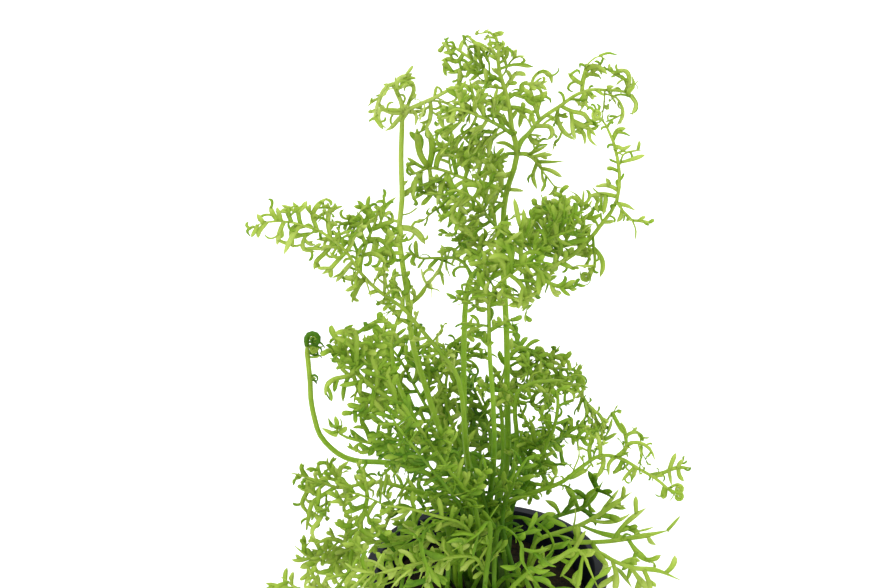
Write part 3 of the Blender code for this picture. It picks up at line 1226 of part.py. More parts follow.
def make_pot(material):
    """The net pot: one wall with a ring of slots, a floor and a rounded rim."""
    build = bmesh.new()
    heights = [0.0, SLOT_BOTTOM, SLOT_TOP, POT_HEIGHT - RIM_DROP]
    outer = [(wall_radius(h), h) for h in heights]
    lip = [(RIM_RADIUS - 0.0005, POT_HEIGHT - RIM_DROP), (RIM_RADIUS, POT_HEIGHT - 0.6 * RIM_DROP),
           (RIM_RADIUS - 0.0004, POT_HEIGHT - 0.0004), (RIM_RADIUS - 0.0012, POT_HEIGHT)]
    inner_top = [(WALL_TOP_RADIUS - WALL + 0.0002, POT_HEIGHT - 0.0003)]
    inner = [(wall_radius(h) - WALL, h) for h in (SLOT_TOP, SLOT_BOTTOM, FLOOR_THICKNESS)]
    profile = outer + lip + inner_top + inner
    rings = [[build.verts.new((r * math.cos(2 * math.pi * k / POT_SIDES),
                               r * math.sin(2 * math.pi * k / POT_SIDES), h)) for k in range(POT_SIDES)]
             for r, h in profile]
    slot_out = 1
    slot_in = len(outer) + len(lip) + len(inner_top)
    for level, (low, high) in enumerate(zip(rings, rings[1:])):
        for k in range(POT_SIDES):
            following = (k + 1) % POT_SIDES
            if level in (slot_out, slot_in) and k % 2 == 0:
                continue
            build.faces.new((low[k], low[following], high[following], high[k]))
    for k in range(0, POT_SIDES, 2):
        following = (k + 1) % POT_SIDES
        out = (rings[1][k], rings[1][following], rings[2][following], rings[2][k])
        back = (rings[slot_in + 1][k], rings[slot_in + 1][following], rings[slot_in][following],
                rings[slot_in][k])
        for edge in range(4):
            build.faces.new((out[edge], out[(edge + 1) % 4], back[(edge + 1) % 4], back[edge]))
    build.faces.new(list(reversed(rings[0])))
    build.faces.new(rings[-1])
    return make_object("pot", build, material)


def make_plug(material):
    """The growing plug: it fills the pot with a small gap, and its top is slightly domed."""
    low = FLOOR_THICKNESS + FIT_GAP
    profile = [(wall_radius(h) - WALL - FIT_GAP - 0.0001, h) for h in (low, PLUG_TOP - 0.0012)]
    profile.append((profile[-1][0] - 0.0009, PLUG_TOP - 0.0004))
    profile.append((0.012, PLUG_TOP - 0.0002))
    return make_object("growing_plug", turned(profile, PLUG_SIDES), material)


def make_crown(material):
    """The short upright rhizome, standing on the plug."""
    return make_object("crown", turned(CROWN_PROFILE, CROWN_SIDES), material)


def main():
    for thing in list(bpy.data.objects):
        bpy.data.objects.remove(thing, do_unlink=True)
    make_pot(make_material("pot_plastic", POT_BLACK, 0.45))
    make_plug(make_material("plug_fibre", PLUG_BROWN, 0.95))
    make_crown(make_material("crown_tissue", CROWN_BROWN, 0.7))
    taken = Taken()
    taken.add(np.array([(0.0, 0.0, POT_HEIGHT)]), 0.001)
    roots = grow_routes(taken)
    for name, root in roots.items():
        grow_branches(name, root, taken)
    for name, root in roots.items():
        builder = Builder(taken)
        builder.grow(root)
        colour = YOUNG_GREEN if name.startswith("juvenile") else FROND_GREEN
        make_object(name, builder.mesh, make_material(name + "_leaf", colour, 0.5))


main()
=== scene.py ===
import json
import math
import re

import bpy
import numpy as np
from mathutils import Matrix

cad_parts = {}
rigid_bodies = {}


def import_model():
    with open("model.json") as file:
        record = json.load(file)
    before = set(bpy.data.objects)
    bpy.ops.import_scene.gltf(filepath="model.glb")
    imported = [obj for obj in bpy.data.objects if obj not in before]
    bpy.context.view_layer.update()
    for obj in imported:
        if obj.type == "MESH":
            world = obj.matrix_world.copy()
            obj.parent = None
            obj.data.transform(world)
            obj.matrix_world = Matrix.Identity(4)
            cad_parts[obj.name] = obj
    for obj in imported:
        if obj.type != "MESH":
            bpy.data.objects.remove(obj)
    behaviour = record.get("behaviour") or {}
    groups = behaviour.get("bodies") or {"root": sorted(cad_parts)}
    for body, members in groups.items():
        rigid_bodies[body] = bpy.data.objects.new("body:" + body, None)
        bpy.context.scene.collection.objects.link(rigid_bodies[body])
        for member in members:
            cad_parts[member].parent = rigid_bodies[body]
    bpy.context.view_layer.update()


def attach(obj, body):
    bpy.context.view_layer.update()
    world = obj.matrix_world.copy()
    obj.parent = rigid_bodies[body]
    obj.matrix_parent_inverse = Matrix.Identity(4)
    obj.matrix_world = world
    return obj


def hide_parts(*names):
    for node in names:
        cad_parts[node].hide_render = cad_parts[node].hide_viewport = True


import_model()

MM = 0.001

# Net pot
POT_HEIGHT = 0.046
RIM_RADIUS = 0.026
RIM_DROP = 0.0026
WALL_TOP_RADIUS = 0.0242
FOOT_RADIUS = 0.0172
WALL = 0.0013
FLOOR_THICKNESS = 0.0016
POT_SIDES = 128
SLOTS = 16
SLOT_BOTTOM = 0.0285
SLOT_TOP = 0.0380
SLOT_REACH = 0.0222
SLOT_WIDTH = 0.0033
SLOT_DEPTH = 0.008
EDGE_SOFTNESS = 0.00016

# Growing plug and the crown on it
PLUG_TOP = 0.0410
PLUG_TOP_RADIUS = 0.0215
PLUG_SIDES = 96
CROWN_SIDES = 40
CROWN_PROFILE = [(0.0046, 0.0413), (0.0050, 0.0440), (0.0043, 0.0475), (0.0031, 0.0505), (0.0016, 0.0528)]
# Distance from the axis and height of the whorls that the stalks stand in
WHORLS = [(0.0092, 0.0423), (0.0064, 0.0448), (0.0053, 0.0488), (0.0036, 0.0530), (0.0125, 0.0423)]

# Front view that the routes were read from
VIEW_WIDTH = 880
VIEW_CENTRE = (440, 294)
VIEW_FOCAL = 2792
VIEW_TILT = math.radians(28.4)
EYE = np.array((-0.0099, -0.4974, 0.3815))

# The solids' own sizes, which the curves of the leaves keep to
PATH_STEP = 0.0007
BRANCH_WIDTH = 0.0011
BROAD_WIDTH = 0.0015
KNOB_RADIUS = 0.0011
CLEARANCE = 0.00042
SEARCH_REACH = 0.006
STRAY_STEP = 0.0011
STRAY_TRIES = 15
FACET_BOW = 0.0008
SECTION_REACH = 1.38
SHARE_REACH = 0.0028
SHARE_EASE = 0.6
FOOT_TURNS = (0.0, 7.0, -7.0, 14.0, -14.0, 21.0, -21.0, 30.0, -30.0)
FOOT_GAP = 1.45
FOOT_SKIP = 0.0009
TIP_SHARE = 0.55
FACING_PULL = 0.08
LENGTH_SHARES = (1.0, 0.7)
PUSH_RAMPS = (0.45, 0.2)
SWING = 0.00008
SWING_TURN = 2.4
STRETCH_WIDTH = 2.1
# Bare ends of a stalk, room between the stretches that shoots grow from, and the cost of changing sides
BARE_FOOT = 0.0008
BARE_TIP = 0.0005
STRETCH_GAP = 0.0003
STRETCH_SHIFT = 0.0002
STRETCH_TRIES = 24
SWAP_COST = 0.0014

# Leaflets
LEAFLET_SPACING = 0.0026
LEAFLET_LENGTH = 0.0046
LEAFLET_WIDTH = 0.00120
LEAFLET_THICK = 0.00011
FIRST_LEAFLET = 0.0007
SPACING_SHARES = (0.42, 0.75)
LENGTH_RANGE = (0.65, 1.2)
WIDTH_SHARES = (0.85, 1.15)
LEAN = (34, 62)
PLAIN_TURN = (-15, 65)
HOOKED_TURN = (80, 190)
HOOKED_WIDTH = 0.75
LOBE_THICK = 0.00010
LOBE_LENGTHS = (0.38, 0.55)
YOUNG_SPREAD = 3.2
YOUNG_WIDTH = 1.15
YOUNG_LENGTH = 1.25
# Twigs: how far along a stalk they go, their length and turn beside a leaflet's, and the bare share, spacing
# and size of their own leaflets
LAST_TWIG = 0.85
TWIG_LENGTH = 1.7
TWIG_TURN = 0.4
TWIG_FRINGE = (0.12, 0.8, 0.62)
# Where a stalk's drawn foot sinks into the crown
CROWN_INSET = np.array((0.62, 0.62, 1.0))
CROWN_SINK = np.array((0.0, 0.0, 0.0008))
# Half widths and thicknesses of the curls, the rolled tips and the fiddlehead's head and segments
CURL_THICK = 0.00034
ROLL_THICK = 0.00036
HEAD_THICK = 0.00060
HEAD_TONE = 0.34
FINE_THICK = 0.00030
FINE_TONE = 0.40
FINE_SEGMENT = 0.00028
# How the pieces of a frond are drawn: half width on an old and on a young frond, half thickness, the most
# twist, the change of tone at foot and tip, and the bare share and the spacing of their leaflets
BRANCHES = {"stalks": (0.00058, 0.00072, 0.00020, 0.0, -0.05, 0.10, 0.12, 1.0),
            "broad": (0.00082, 0.00088, 0.00020, 0.6, 0.0, 0.14, 0.35, 1.7),
            "narrow": (0.00058, 0.00072, 0.00018, 0.9, 0.0, 0.16, 0.0, 0.0)}
# Half width along a piece, as shares of its length and of its widest half: a flat segment that is broad from
# its foot to its blunt point, a young leaf's slender lobe, and the thinning of both
BLADE = [(0.0, 0.82), (0.3, 0.92), (0.55, 1.0), (0.72, 0.98), (0.86, 0.76), (0.95, 0.42), (1.0, 0.12)]
LOBE = [(0.0, 0.50), (0.3, 0.62), (0.6, 1.0), (0.78, 0.82), (0.92, 0.36), (1.0, 0.05)]
FLAT = [(0.0, 1.0), (0.7, 0.9), (1.0, 0.3)]

# Clear openings of the front view, as (left, top, right, bottom), that no leaflet's tip is drawn in
OPENINGS = [(300, 360, 322, 450), (639, 40, 700, 125), (532, 20, 566, 62), (514, 20, 540, 46),
            (240, 150, 335, 196), (240, 240, 276, 320), (240, 256, 306, 320), (240, 280, 342, 322),
            (560, 138, 604, 184), (360, 0, 660, 28), (593, 300, 700, 404), (230, 430, 290, 560),
            (600, 225, 660, 300)]

# Leaf green, from the darkest tone to the lightest
LEAF_RAMP = [(0.0, (0.018, 0.075, 0.001)), (0.30, (0.090, 0.238, 0.005)), (0.50, (0.248, 0.420, 0.024)),
             (0.68, (0.412, 0.543, 0.078)), (0.85, (0.528, 0.635, 0.165)), (1.0, (0.645, 0.728, 0.280))]
# Scale and detail of its grain, strength and depth of the relief, roughness and gloss
LEAF_FINISH = (260.0, 3.0, 0.25, 0.0002, 0.55, 0.25)
# How far the grain moves the tone, and the share of the light that comes through a leaf
MOTTLING = 0.30
THROUGH_SHARE = 0.50
# The other finishes: dark and light colour, scale of the grain, depth of the relief, roughness and gloss
FINISHES = {
    "pot_plastic": ((0.0025, 0.0035, 0.006), (0.005, 0.007, 0.012), 180.0, 0.00004, 0.50, 0.07),
    # The plug's near-black colours are its brown fibre darkened with painted shade, for the dark inside of
    # the pot under the leaves
    "plug_fibre": ((0.002, 0.002, 0.001), (0.015, 0.009, 0.003), 900.0, 0.0006, 0.95, 0.10),
    "crown_tissue": ((0.010, 0.026, 0.003), (0.045, 0.090, 0.010), 500.0, 0.0003, 0.7, 0.10)}

FLOOR_SIZE = 6.0
FLOOR_COLOUR = (0.93, 0.93, 0.93, 1.0)
# Studio lights: place, the point lit, size and power
LAMPS = [((-0.6, -0.7, 1.1), (0, 0, 0.1), 0.9, 13.0), ((0.9, -0.4, 0.9), (0, 0, 0.1), 0.8, 7.0),
         ((0.1, 0.9, 1.0), (0, 0, 0.12), 0.9, 9.0)]

FRONDS = {}


def frond(name, foot, girth, bare, plan, **looks):
    """Note down one frond.

    foot: where it starts, by whorl and bearing on the crown, or by a parent frond and the place on it.
    girth: at base and tip in millimetres. bare: the share of its length that is bare stalk.
    looks: how light its leaves are (their own green with painted shade: darker inside, behind and under the
    clump), how full of twigs, and how fine its segments are.
    plan: its route, as (across, down, depth behind the pot's axis in millimetres), and what grows on it, as
    (across, down): stalks carry leaflets, broad and narrow are plain leaf segments, knobs end in a rolled-up
    bud, curls are thin. Each trace is a first spot and the steps from one to the next.
    """
    # The default tone is dark: painted shade for the fronds behind the clump that take it
    spec = {"foot": foot, "girth": girth, "bare": bare, "tone": 0.42, "full": 0.2, "fine": 1.0, **looks}
    for kind, text in re.findall(r"([a-z]+):([^a-z]*)", plan):
        spec[kind] = [np.cumsum([[float(part) for part in step.split(",")] for step in trace.split()], axis=0)
                      for trace in text.split(";")]
    FRONDS[name] = spec


frond("tall_left_frond", (3, 150), (1.35, 0.8), 0.8, tone=0.74, full=0.15, fine=0.72, plan="""
  route: 474,500,1.5 -14,-26,1.5 -20,-44,2 -15,-45,2 -13,-45,1 -4,-40,1 -6,-40,0.5 -3,-25,0.5 3,-35,0
    -1,-40,0 1,-30,-0.5 2,-17,-0.5 14,-8,-1 12,-5,-1 15,-8,-1 13,-6,-1 17,0,-1 13,2,-1
  stalks: 402,112 -2,-12 -4,-11 2,-9 8,-5 5,1; 398,96 -7,-12 -5,3 -6,11 -4,12 -3,11; 404,111 6,-11 4,-10
    -3,-9 -6,-1; 400,113 -10,-4 -9,-1 -3,9 3,8 5,3; 430,101 1,11 -2,10 -4,8; 431,101 14,3 13,6 8,6; 411,306
    7,-8 6,-8 3,-6
  broad: 400,228 12,1 9,8 4,7; 427,284 -4,-8 -2,-8; 427,284 7,-7 6,-11
  narrow: 401,216 9,-3 8,-6; 400,221 -12,-2 -6,-7 6,-8 8,-7; 401,184 7,-4; 402,115 -5,6 -6,7 -6,3; 410,109
    6,6 -1,11; 424,103 -1,9 -4,9; 458,86 3,-9 -2,-8; 475,86 4,8 7,6; 428,285 8,4 4,3; 427,286 4,6 1,7
  curls: 402,112 -12,-3 -9,1; 410,85 -6,-3 -4,3; 408,80 -6,0 -1,6; 412,229 3,-7 7,-1; 396,228 -8,7 3,27""")
frond("tall_centre_frond", (3, 45), (1.45, 0.8), 0.74, tone=0.64, full=0.25, fine=0.88, plan="""
  route: 500,500,3 7,-32,1 1,-38,1 -1,-30,0 0,-50,0 -1,-30,0 -1,-20,0 -2,-38,-0.5 0,-32,-0.5 2,-30,-1
    5,-20,-1 6,-18,-1 1,-12,-0.5 -5,-20,-0.5 -3,-25,0 -4,-15,-1 -5,-15,-1 -2,-15,-1 1,-12,-1 -2,-9,-1
    -6,-6,-2 -7,-2,-2 -6,3,-1
  stalks: 501,64 7,-8 -1,-10; 503,78 6,-14 7,-7 10,-1; 497,56 -5,-6 -4,-5; 509,98 6,-4 6,-1 1,-9 6,-3;
    510,107 12,2 8,3 5,4; 518,154 9,0 7,4 5,6 3,7; 516,153 -11,1 -7,8 -6,14
  broad: 538,162 12,0 15,-1; 541,170 7,8 8,9 7,1; 512,173 -11,4 -11,5
  narrow: 499,50 5,-5 -2,-5; 514,58 3,-6; 508,65 12,-1 12,3; 504,90 -7,8 -8,6; 524,109 -1,-7; 526,111 -5,7
    -2,10; 516,151 -11,-8 -10,0; 530,154 10,-5 7,-4; 532,156 10,-3 8,-2; 541,169 11,2 10,6; 541,170 2,10
    3,7; 536,163 -3,12 4,14; 511,190 7,0 6,1; 505,203 -8,-1 -8,1
  curls: 502,55 6,-7 4,4 -1,5; 532,172 -4,6 1,5; 530,150 8,-4 10,-2; 491,203 -1,5 3,4; 508,331 4,1 4,1;
    500,68 12,-3 13,-1 8,3""")
frond("tall_centre_pinna_right", ("tall_centre_frond", (517, 150)),
      (1.15, 0.7), 0.12, tone=0.66, full=0.15, fine=0.72, plan="""
  route: 523,141,2.5 7,-9,2.5 10,-12,3 20,-14,3 20,-13,3 10,-3,1 15,0,2 20,2,2 7,3,1
  stalks: 581,92 2,-12 3,-10 0,-7; 625,92 4,-10 -2,-10 -9,-3; 604,91 0,13 -2,14; 606,92 9,6 7,9 0,11 -5,7;
    560,107 12,5 12,2 8,10 8,-2; 558,108 0,12 6,12 11,8; 572,113 1,9 15,6 8,8; 540,120 -4,-10 -4,-13 -2,-11;
    531,88 4,-12 7,-5 8,4 2,9; 534,127 8,-4 8,3 3,8 -6,6; 529,134 4,8 7,2
  broad: 586,70 6,-4 8,2 7,6; 534,98 7,-1 6,-6; 631,93 3,-8 -2,-9
  narrow: 582,84 -7,-4 -7,-7; 587,66 5,-6 7,-4 8,5; 607,90 3,-3 4,-1; 632,95 4,9 -4,11; 587,91 -3,9 -2,7;
    577,124 7,10 1,11; 584,134 7,7 6,5; 573,120 0,12 3,7; 531,92 -7,-2 -3,-6; 534,86 7,-1 6,5
  curls: 585,66 -5,-2 0,4; 573,72 5,-2 2,4; 577,83 -7,1 -2,5 5,3; 592,74 6,1 3,4; 598,56 10,-3 9,2; 627,88
    -5,-12 -7,-1; 557,112 -2,7 2,6; 546,97 4,2 1,4; 632,95 5,9 -2,8 -5,2""")
frond("tall_centre_pinna_top_left", ("tall_centre_frond", (501, 82)),
      (1, 0.6), 0.1, tone=0.62, full=0.4, fine=0.8, plan="""
  route: 494,77,1 -10,-8,3 -10,-8,2 -10,-7,2 -9,-6,1 -9,-3,1 -6,3,0.5
  stalks: 484,69 -4,-11 -3,-11 -6,-9; 474,61 -6,-9 1,-7; 464,55 -7,7 -8,-3 -8,2; 486,71 -8,3 -8,-3 -4,7;
    474,62 -8,4 -8,5 -11,2; 490,74 -1,-12 -5,-10 2,-6
  broad: 480,66 -7,2 -9,-5
  narrow: 493,77 -8,5 -8,0; 455,49 -5,4 -7,-1
  curls: 471,40 -5,-4 -3,4; 455,48 -3,-6 -5,1""")
frond("tall_centre_pinna_high_left", ("tall_centre_frond", (512, 134)),
      (1.1, 0.6), 0.1, tone=0.6, full=0.45, fine=1, plan="""
  route: 504,129,-3 -8,-5,-3 -10,-5,-3 -10,-4,-2 -10,-4,-2 -10,-2,-1 -8,3,-1
  stalks: 496,124 -5,-12 3,-10 -4,-8; 486,119 -5,-11 -7,-8 -3,-7; 476,115 -8,-9 -8,-3 -8,0; 499,126 -6,8
    -7,8 -4,8; 488,120 -8,10 -8,6 -2,6; 478,115 -6,11 -8,9 -6,8 -6,7; 468,112 -8,10 -8,8 -8,6; 480,130 -5,13
    -7,9 -2,8
  broad: 490,121 -7,-9 1,-9; 462,111 -7,7 -4,9
  narrow: 456,110 -7,7 -7,1; 486,136 4,9 -2,11
  curls: 448,125 -7,5 2,8 6,4; 470,134 -4,6 4,4""")
frond("tall_centre_pinna_mid_left", ("tall_centre_frond", (508, 187)),
      (1.1, 0.7), 0.1, tone=0.6, full=0.35, plan="""
  route: 498,188,5 -10,-1,2 -10,-3,2 -10,-4,2 -10,-4,1.5 -10,-4,1.5 -10,-3,1 -10,-1,0.5 -9,4,0.5 -8,3,0
  stalks: 456,175 -2,-13 -2,-12 5,-7; 466,179 0,-11 -5,-10 7,-8; 476,183 3,-13 3,-12 4,-9; 490,187 1,-12
    -3,-12 0,-9; 448,172 -4,12 -5,11 -2,11; 470,181 -6,9 -8,6 -6,8
  broad: 428,168 -7,-12 -3,-13 -1,-15; 430,167 2,-17 -3,-20; 437,169 1,-11 6,-9 -2,-9; 417,173 -3,11 -1,16
  narrow: 428,169 3,13 1,14; 482,186 -4,7 2,7
  curls: 443,147 -6,-6 -1,-9; 412,175 -5,-3 1,-6""")
frond("tall_centre_pinna_low_left", ("tall_centre_frond", (503, 236)),
      (1.1, 0.6), 0.1, tone=0.6, full=0.35, plan="""
  route: 497,228,0 -8,-9,-2 -7,-11,-2 -8,-9,-2 -9,-6,-1 -9,-3,-1 -9,2,-1
  stalks: 456,190 -7,8 -7,8 4,8; 464,193 -8,9 -5,11 4,10 7,2; 483,209 7,-10 7,-8; 474,199 5,-9 -2,-10;
    490,220 -7,6 -8,-5 -6,3
  broad: 484,212 -8,-2 -10,-9
  narrow: 468,196 -8,10 8,9; 485,212 7,-4 -1,6
  curls: 440,203 -3,7 4,5; 450,210 1,8 4,5 7,2; 460,205 3,6 5,4""")
frond("right_arch_frond", (3, 200), (1.4, 0.75), 0.6, tone=0.62, full=0.08, fine=0.68, plan="""
  route: 478,498,-1.5 -9,-28,-1.5 -4,-35,-1 -1,-35,-1 0,-55,-1 2,-45,-1 2,-14,-0.5 6,-13,-0.5 11,-9,-0.5
    15,-2,-0.5 20,2,-1 25,3,-1 15,-4,-1 15,-10,-1 15,-14,-1 10,-13,-1 11,-14,-1 6,-12,-1 2,-10,-0.5
    0.5,-15,-0.5 -1.5,-15,0 -3,-10,0 -3,-13,0.5 -5,-10,0.5 -5,-8,1 -6,-7,1
  stalks: 620,166 4,-12 10,-3 9,-1; 618,190 -6,-3 -8,-2 -9,2; 617,197 -11,-3 -11,1 -7,2; 619,203 5,7 8,10
    4,12 -1,8; 593,236 1,12 1,14 -2,11; 593,266 -3,8 -3,7
  broad: 576,251 8,3 8,-1
  narrow: 613,138 4,-7 9,-3; 616,151 7,-2 8,-4; 622,162 11,-3 12,-4; 611,187 -3,-6 -2,-3; 606,195 -1,10
    -2,10; 596,196 0,10 3,7; 620,203 8,3 7,4; 623,210 -2,7 -4,5; 594,248 7,8 2,11 -3,10; 594,266 -9,0 -10,-1
  knobs: 603,120 -5,-4 -4,-5; 591,273 -5,3 -5,2
  curls: 616,133 8,0 6,3; 600,195 1,10 -3,8; 468,283 -6,2 1,6; 594,112 -4,-5 -3,3; 598,112 2,-5 -3,-3""")
frond("right_arch_pinna_inner", ("right_arch_frond", (553, 266)),
      (1.1, 0.6), 0.08, tone=0.6, full=0.45, plan="""
  route: 558,254,-9 7,-12,2 7,-12,2 6,-12,2 4,-12,2 2,-16,1
  stalks: 560,250 -8,-10 -6,-10 -6,-8 -7,-5; 563,246 -6,-14 1,-16 3,-15; 568,237 -6,-11 3,-14; 574,226
    -6,-10 1,-11; 562,249 10,-4 10,-6; 570,234 11,-3 10,-4; 576,222 9,-4 7,-5 2,-7
  broad: 558,252 7,4 9,-2
  narrow: 582,206 -6,-8 -7,-1; 583,203 -6,-8 -9,-5; 581,211 7,-4 4,-7
  knobs: 546,226 -5,-6 -4,-9""")
frond("right_arch_pinna_back", ("right_arch_frond", (530, 265)),
      (1, 0.6), 0.08, tone=0.5, full=0.45, plan="""
  route: 532,256,-12 6,-8,-3 8,-7,-3 10,-5,-2 11,-4,-2 10,-4,-2
  stalks: 536,250 -6,-7 -1,-7 5,-8; 546,241 3,-10 -4,-6; 542,245 10,5 9,3; 556,236 8,7 9,3; 557,236 4,-10
    7,-7; 567,232 9,3 9,-1
  broad: 548,240 8,6 7,1
  narrow: 570,231 6,-9 5,-3""")
frond("right_arch_pinna_left", ("right_arch_frond", (472, 276)),
      (0.95, 0.6), 0.1, tone=0.58, full=0.2, fine=0.85, plan="""
  route: 464,263,-4 -9,-5,2 -10,0,2 -12,0,1 -13,0,1 -9,-4,0 -6,-2,0
  stalks: 457,258 6,-9 2,-10 -1,-7 8,-6; 462,248 -3,-9 -9,-6; 456,258 -2,-8 -11,-3; 444,258 -3,8 -4,9
  broad: 448,258 -2,8 0,6
  narrow: 463,262 -2,6; 454,258 -2,9; 414,256 -2,6 4,4
  curls: 437,260 10,2 8,4; 414,255 -5,-7 3,-5""")
frond("upright_centre_frond", (3, 295), (1.25, 0.65), 0.66, tone=0.56, full=0.4, plan="""
  route: 490,500,-5 4,-40,-4 -1,-60,-4 -3,-40,-2 -1,-40,-2 0,-17,-1 5,-13,-1 9,-10,-1 11,-8,0 11,-10,1
    10,-10,1 10,-8,1
  stalks: 490,300 -4,-10 3,-9; 495,289 -6,-11 -2,-10 -5,-6; 506,278 -2,-12 -6,-10 -8,-9; 514,272 -2,-12
    -4,-12 -2,-8; 510,275 8,6 7,10 2,11 -6,7; 518,270 10,5 7,9 6,5 -8,5; 526,262 8,6 7,7 4,11; 500,283 3,9
    8,6 8,2; 521,265 0,-15 0,-15 -1,-13
  broad: 497,288 -1,8 6,6
  narrow: 520,224 -3,-12 -3,-14; 521,230 3,-11 -1,-10; 521,242 7,-12 3,-12; 490,304 -6,-6 -6,1; 527,296 4,-1
    5,3
  curls: 535,262 13,20 -3,11; 533,270 10,15 -8,7; 523,238 5,-8 3,-13; 489,295 -11,1 -8,2""")
frond("upright_centre_pinna", ("upright_centre_frond", (490, 298)),
      (0.95, 0.6), 0.08, tone=0.55, full=0.4, plan="""
  route: 484,284,-15 0,-14,3 -1,-12,2 -2,-12,2 -4,-11,2 -6,-9,1
  stalks: 483,258 -7,-6 -8,-4; 482,247 8,-6 8,-6; 483,262 9,-6 9,-4 9,-5; 478,237 -6,-2 -9,-3; 484,272 -7,10
    -3,10
  narrow: 484,270 8,-2 6,-4; 481,244 5,-10 -2,-6""")
frond("left_diagonal_frond", (3, 245), (1.35, 0.6), 0.44, tone=0.66, full=0.36, fine=0.74, plan="""
  route: 480,500,-5 -10,-28,-3 -5,-37,-2.5 -3,-37,-1.5 -7,-27,-1 -15,-19,-1 -10,-12,-1 -15,-18,-1 -12,-14,-1
    -10,-7,-1 -13,-9,-1 -15,-14,-1 -10,-13,-1 -10,-15,-1 -13,-11,-1 -12,-8,-1 -15,-5,-1 -15,-4,-1 -15,-1,-1
    -13,2,-1 -12,5,-1
  stalks: 276,221 -4,-9 -2,-6; 290,222 -2,-10 2,-6; 302,225 -4,-13 -5,-10; 318,231 -5,-17 6,-10 8,-6;
    331,238 -3,-16 2,-16; 285,222 -6,12 -2,11; 300,226 -10,14 -6,14; 318,231 -13,7 -2,10 12,4; 335,241
    -10,11 -9,10 -2,8; 346,251 -9,10 -7,8 -8,5; 352,261 -7,9 -9,12; 360,272 -8,5 -8,0; 347,253 5,-13 -6,-8
  broad: 364,277 -8,14 -4,12; 385,295 8,-6 9,3
  narrow: 264,222 -7,-8; 266,222 -7,9 -1,7; 280,221 -3,-14; 297,213 6,-6 4,-6; 330,222 8,3; 297,230 -4,18;
    366,279 3,11 2,8; 362,279 -10,9 -7,3; 390,298 -3,-13 -3,-17; 333,270 -2,8
  curls: 333,238 12,-6 10,-2; 252,227 -5,4 3,5""")
frond("left_diagonal_pinna_upper", ("left_diagonal_frond", (359, 271)),
      (1, 0.6), 0.08, tone=0.58, full=0.45, fine=0.9, plan="""
  route: 362,258,-18 4,-13,2 5,-13,2 5,-12,2 2,-14,1
  stalks: 362,258 -7,-12 -3,-14 6,-8; 366,245 -5,-13 1,-12 -5,-8; 362,222 -8,-5 -6,3; 371,232 -4,-12 1,-10
    -4,-3; 367,243 11,-3 10,6 3,12 -2,8; 373,228 11,-4 10,-2; 363,255 10,-1 9,4 4,6
  broad: 388,246 3,-10 -3,-7; 369,240 6,8 -4,8
  narrow: 376,220 -4,-6 -1,-6; 363,250 -7,6 2,6""")
frond("left_crossing_frond", (2, 172), (1.15, 0.7), 0.74, tone=0.55, full=0.35, fine=0.88, plan="""
  route: 462,492,0 -26,-37,0.5 -26,-45,0.5 -16,-42,0.5 -2,-26,0.5 6,-24,0.5 6,-16,0.5 -3,-12,1 -7,-7,1
  stalks: 404,300 -8,-4 -8,-6; 392,345 -6,-7 -4,-4
  broad: 402,292 6,-8 -2,-8
  narrow: 396,284 -4,-6 8,-4
  curls: 392,284 1,-7 9,-2""")
frond("left_fiddlehead", (2, 150), (1.3, 1), 0.97, tone=0.58, plan="""
  route: 462,496,5 -26,-18,4 -32,-13,3 -25,-3,1.5 -21,-1,1 -14,-4,0.5 -14,-10,0.5 -10,-12,0.5 -5,-15,0
    -4,-20,0 -1,-20,0 -2,-20,0 -1,-15,0 2,-8,0
  narrow: 308,352 8,-3 8,-3; 309,356 6,1 5,-1; 310,376 6,3
  knobs: 308,341 3,-4 4,2; 309,348 5,1 4,3
  curls: 307,345 -1,-5 2,-5 5,-2 5,3 1,5 -3,4 -4,-1 -1,-4 3,-2; 309,343 7,-2 5,2 4,5; 309,346 8,0 5,4 -2,4;
    309,350 6,0 3,4 -3,3; 309,352 5,3 5,0 3,3; 310,376 5,-1 3,3 -2,4; 310,379 4,1 3,4""")
frond("left_low_frond", (2, 208), (1.2, 0.7), 0.5, tone=0.6, fine=0.82, plan="""
  route: 462,508,-4 -26,-11,-2 -31,-9,-2 -29,-6,-1 -19,3,-1 -17,3,-0.5 -14,-4,-0.5 -14,-5,0 -12,-4,0 -9,-2,0
  stalks: 330,485 -8,-7 -4,-10 1,-7; 340,488 -5,-12 -7,-10 -1,-9; 341,487 -5,-9 5,-10 8,-7; 322,483 -11,5
    -6,8 -3,7 6,11; 334,488 -12,7 -10,8 -3,13 -3,14
  broad: 352,486 -6,8 -8,3
  narrow: 306,477 -4,-7 -1,-7; 298,475 -4,5 0,5; 362,484 0,-10 -1,-7; 376,483 -2,9 -2,6
  curls: 296,475 -1,5 -2,5; 309,490 -7,12 6,12 -1,16""")
frond("bud_frond_left", (2, 228), (1.1, 0.7), 0.55, tone=0.5, fine=0.7, plan="""
  route: 468,504,-8 -24,-18,-4 -30,-22,-4 -24,-14,-3 -20,-7,-2 -18,-4,-1 -12,-5,-1 -5,-7,0
  stalks: 370,443 -3,-12 -5,-9 -2,-7; 380,447 -2,-15 2,-12; 382,447 -12,4 -11,1 -3,-6; 400,455 -8,-13
    -4,-10; 410,462 -12,0 -12,4
  broad: 364,441 -8,-5 -6,-7
  narrow: 335,428 -5,-5 -2,-5; 335,427 0,-11; 336,428 6,-4 -2,-6; 338,432 6,-2 3,-3; 337,431 -8,1 -7,-4""")
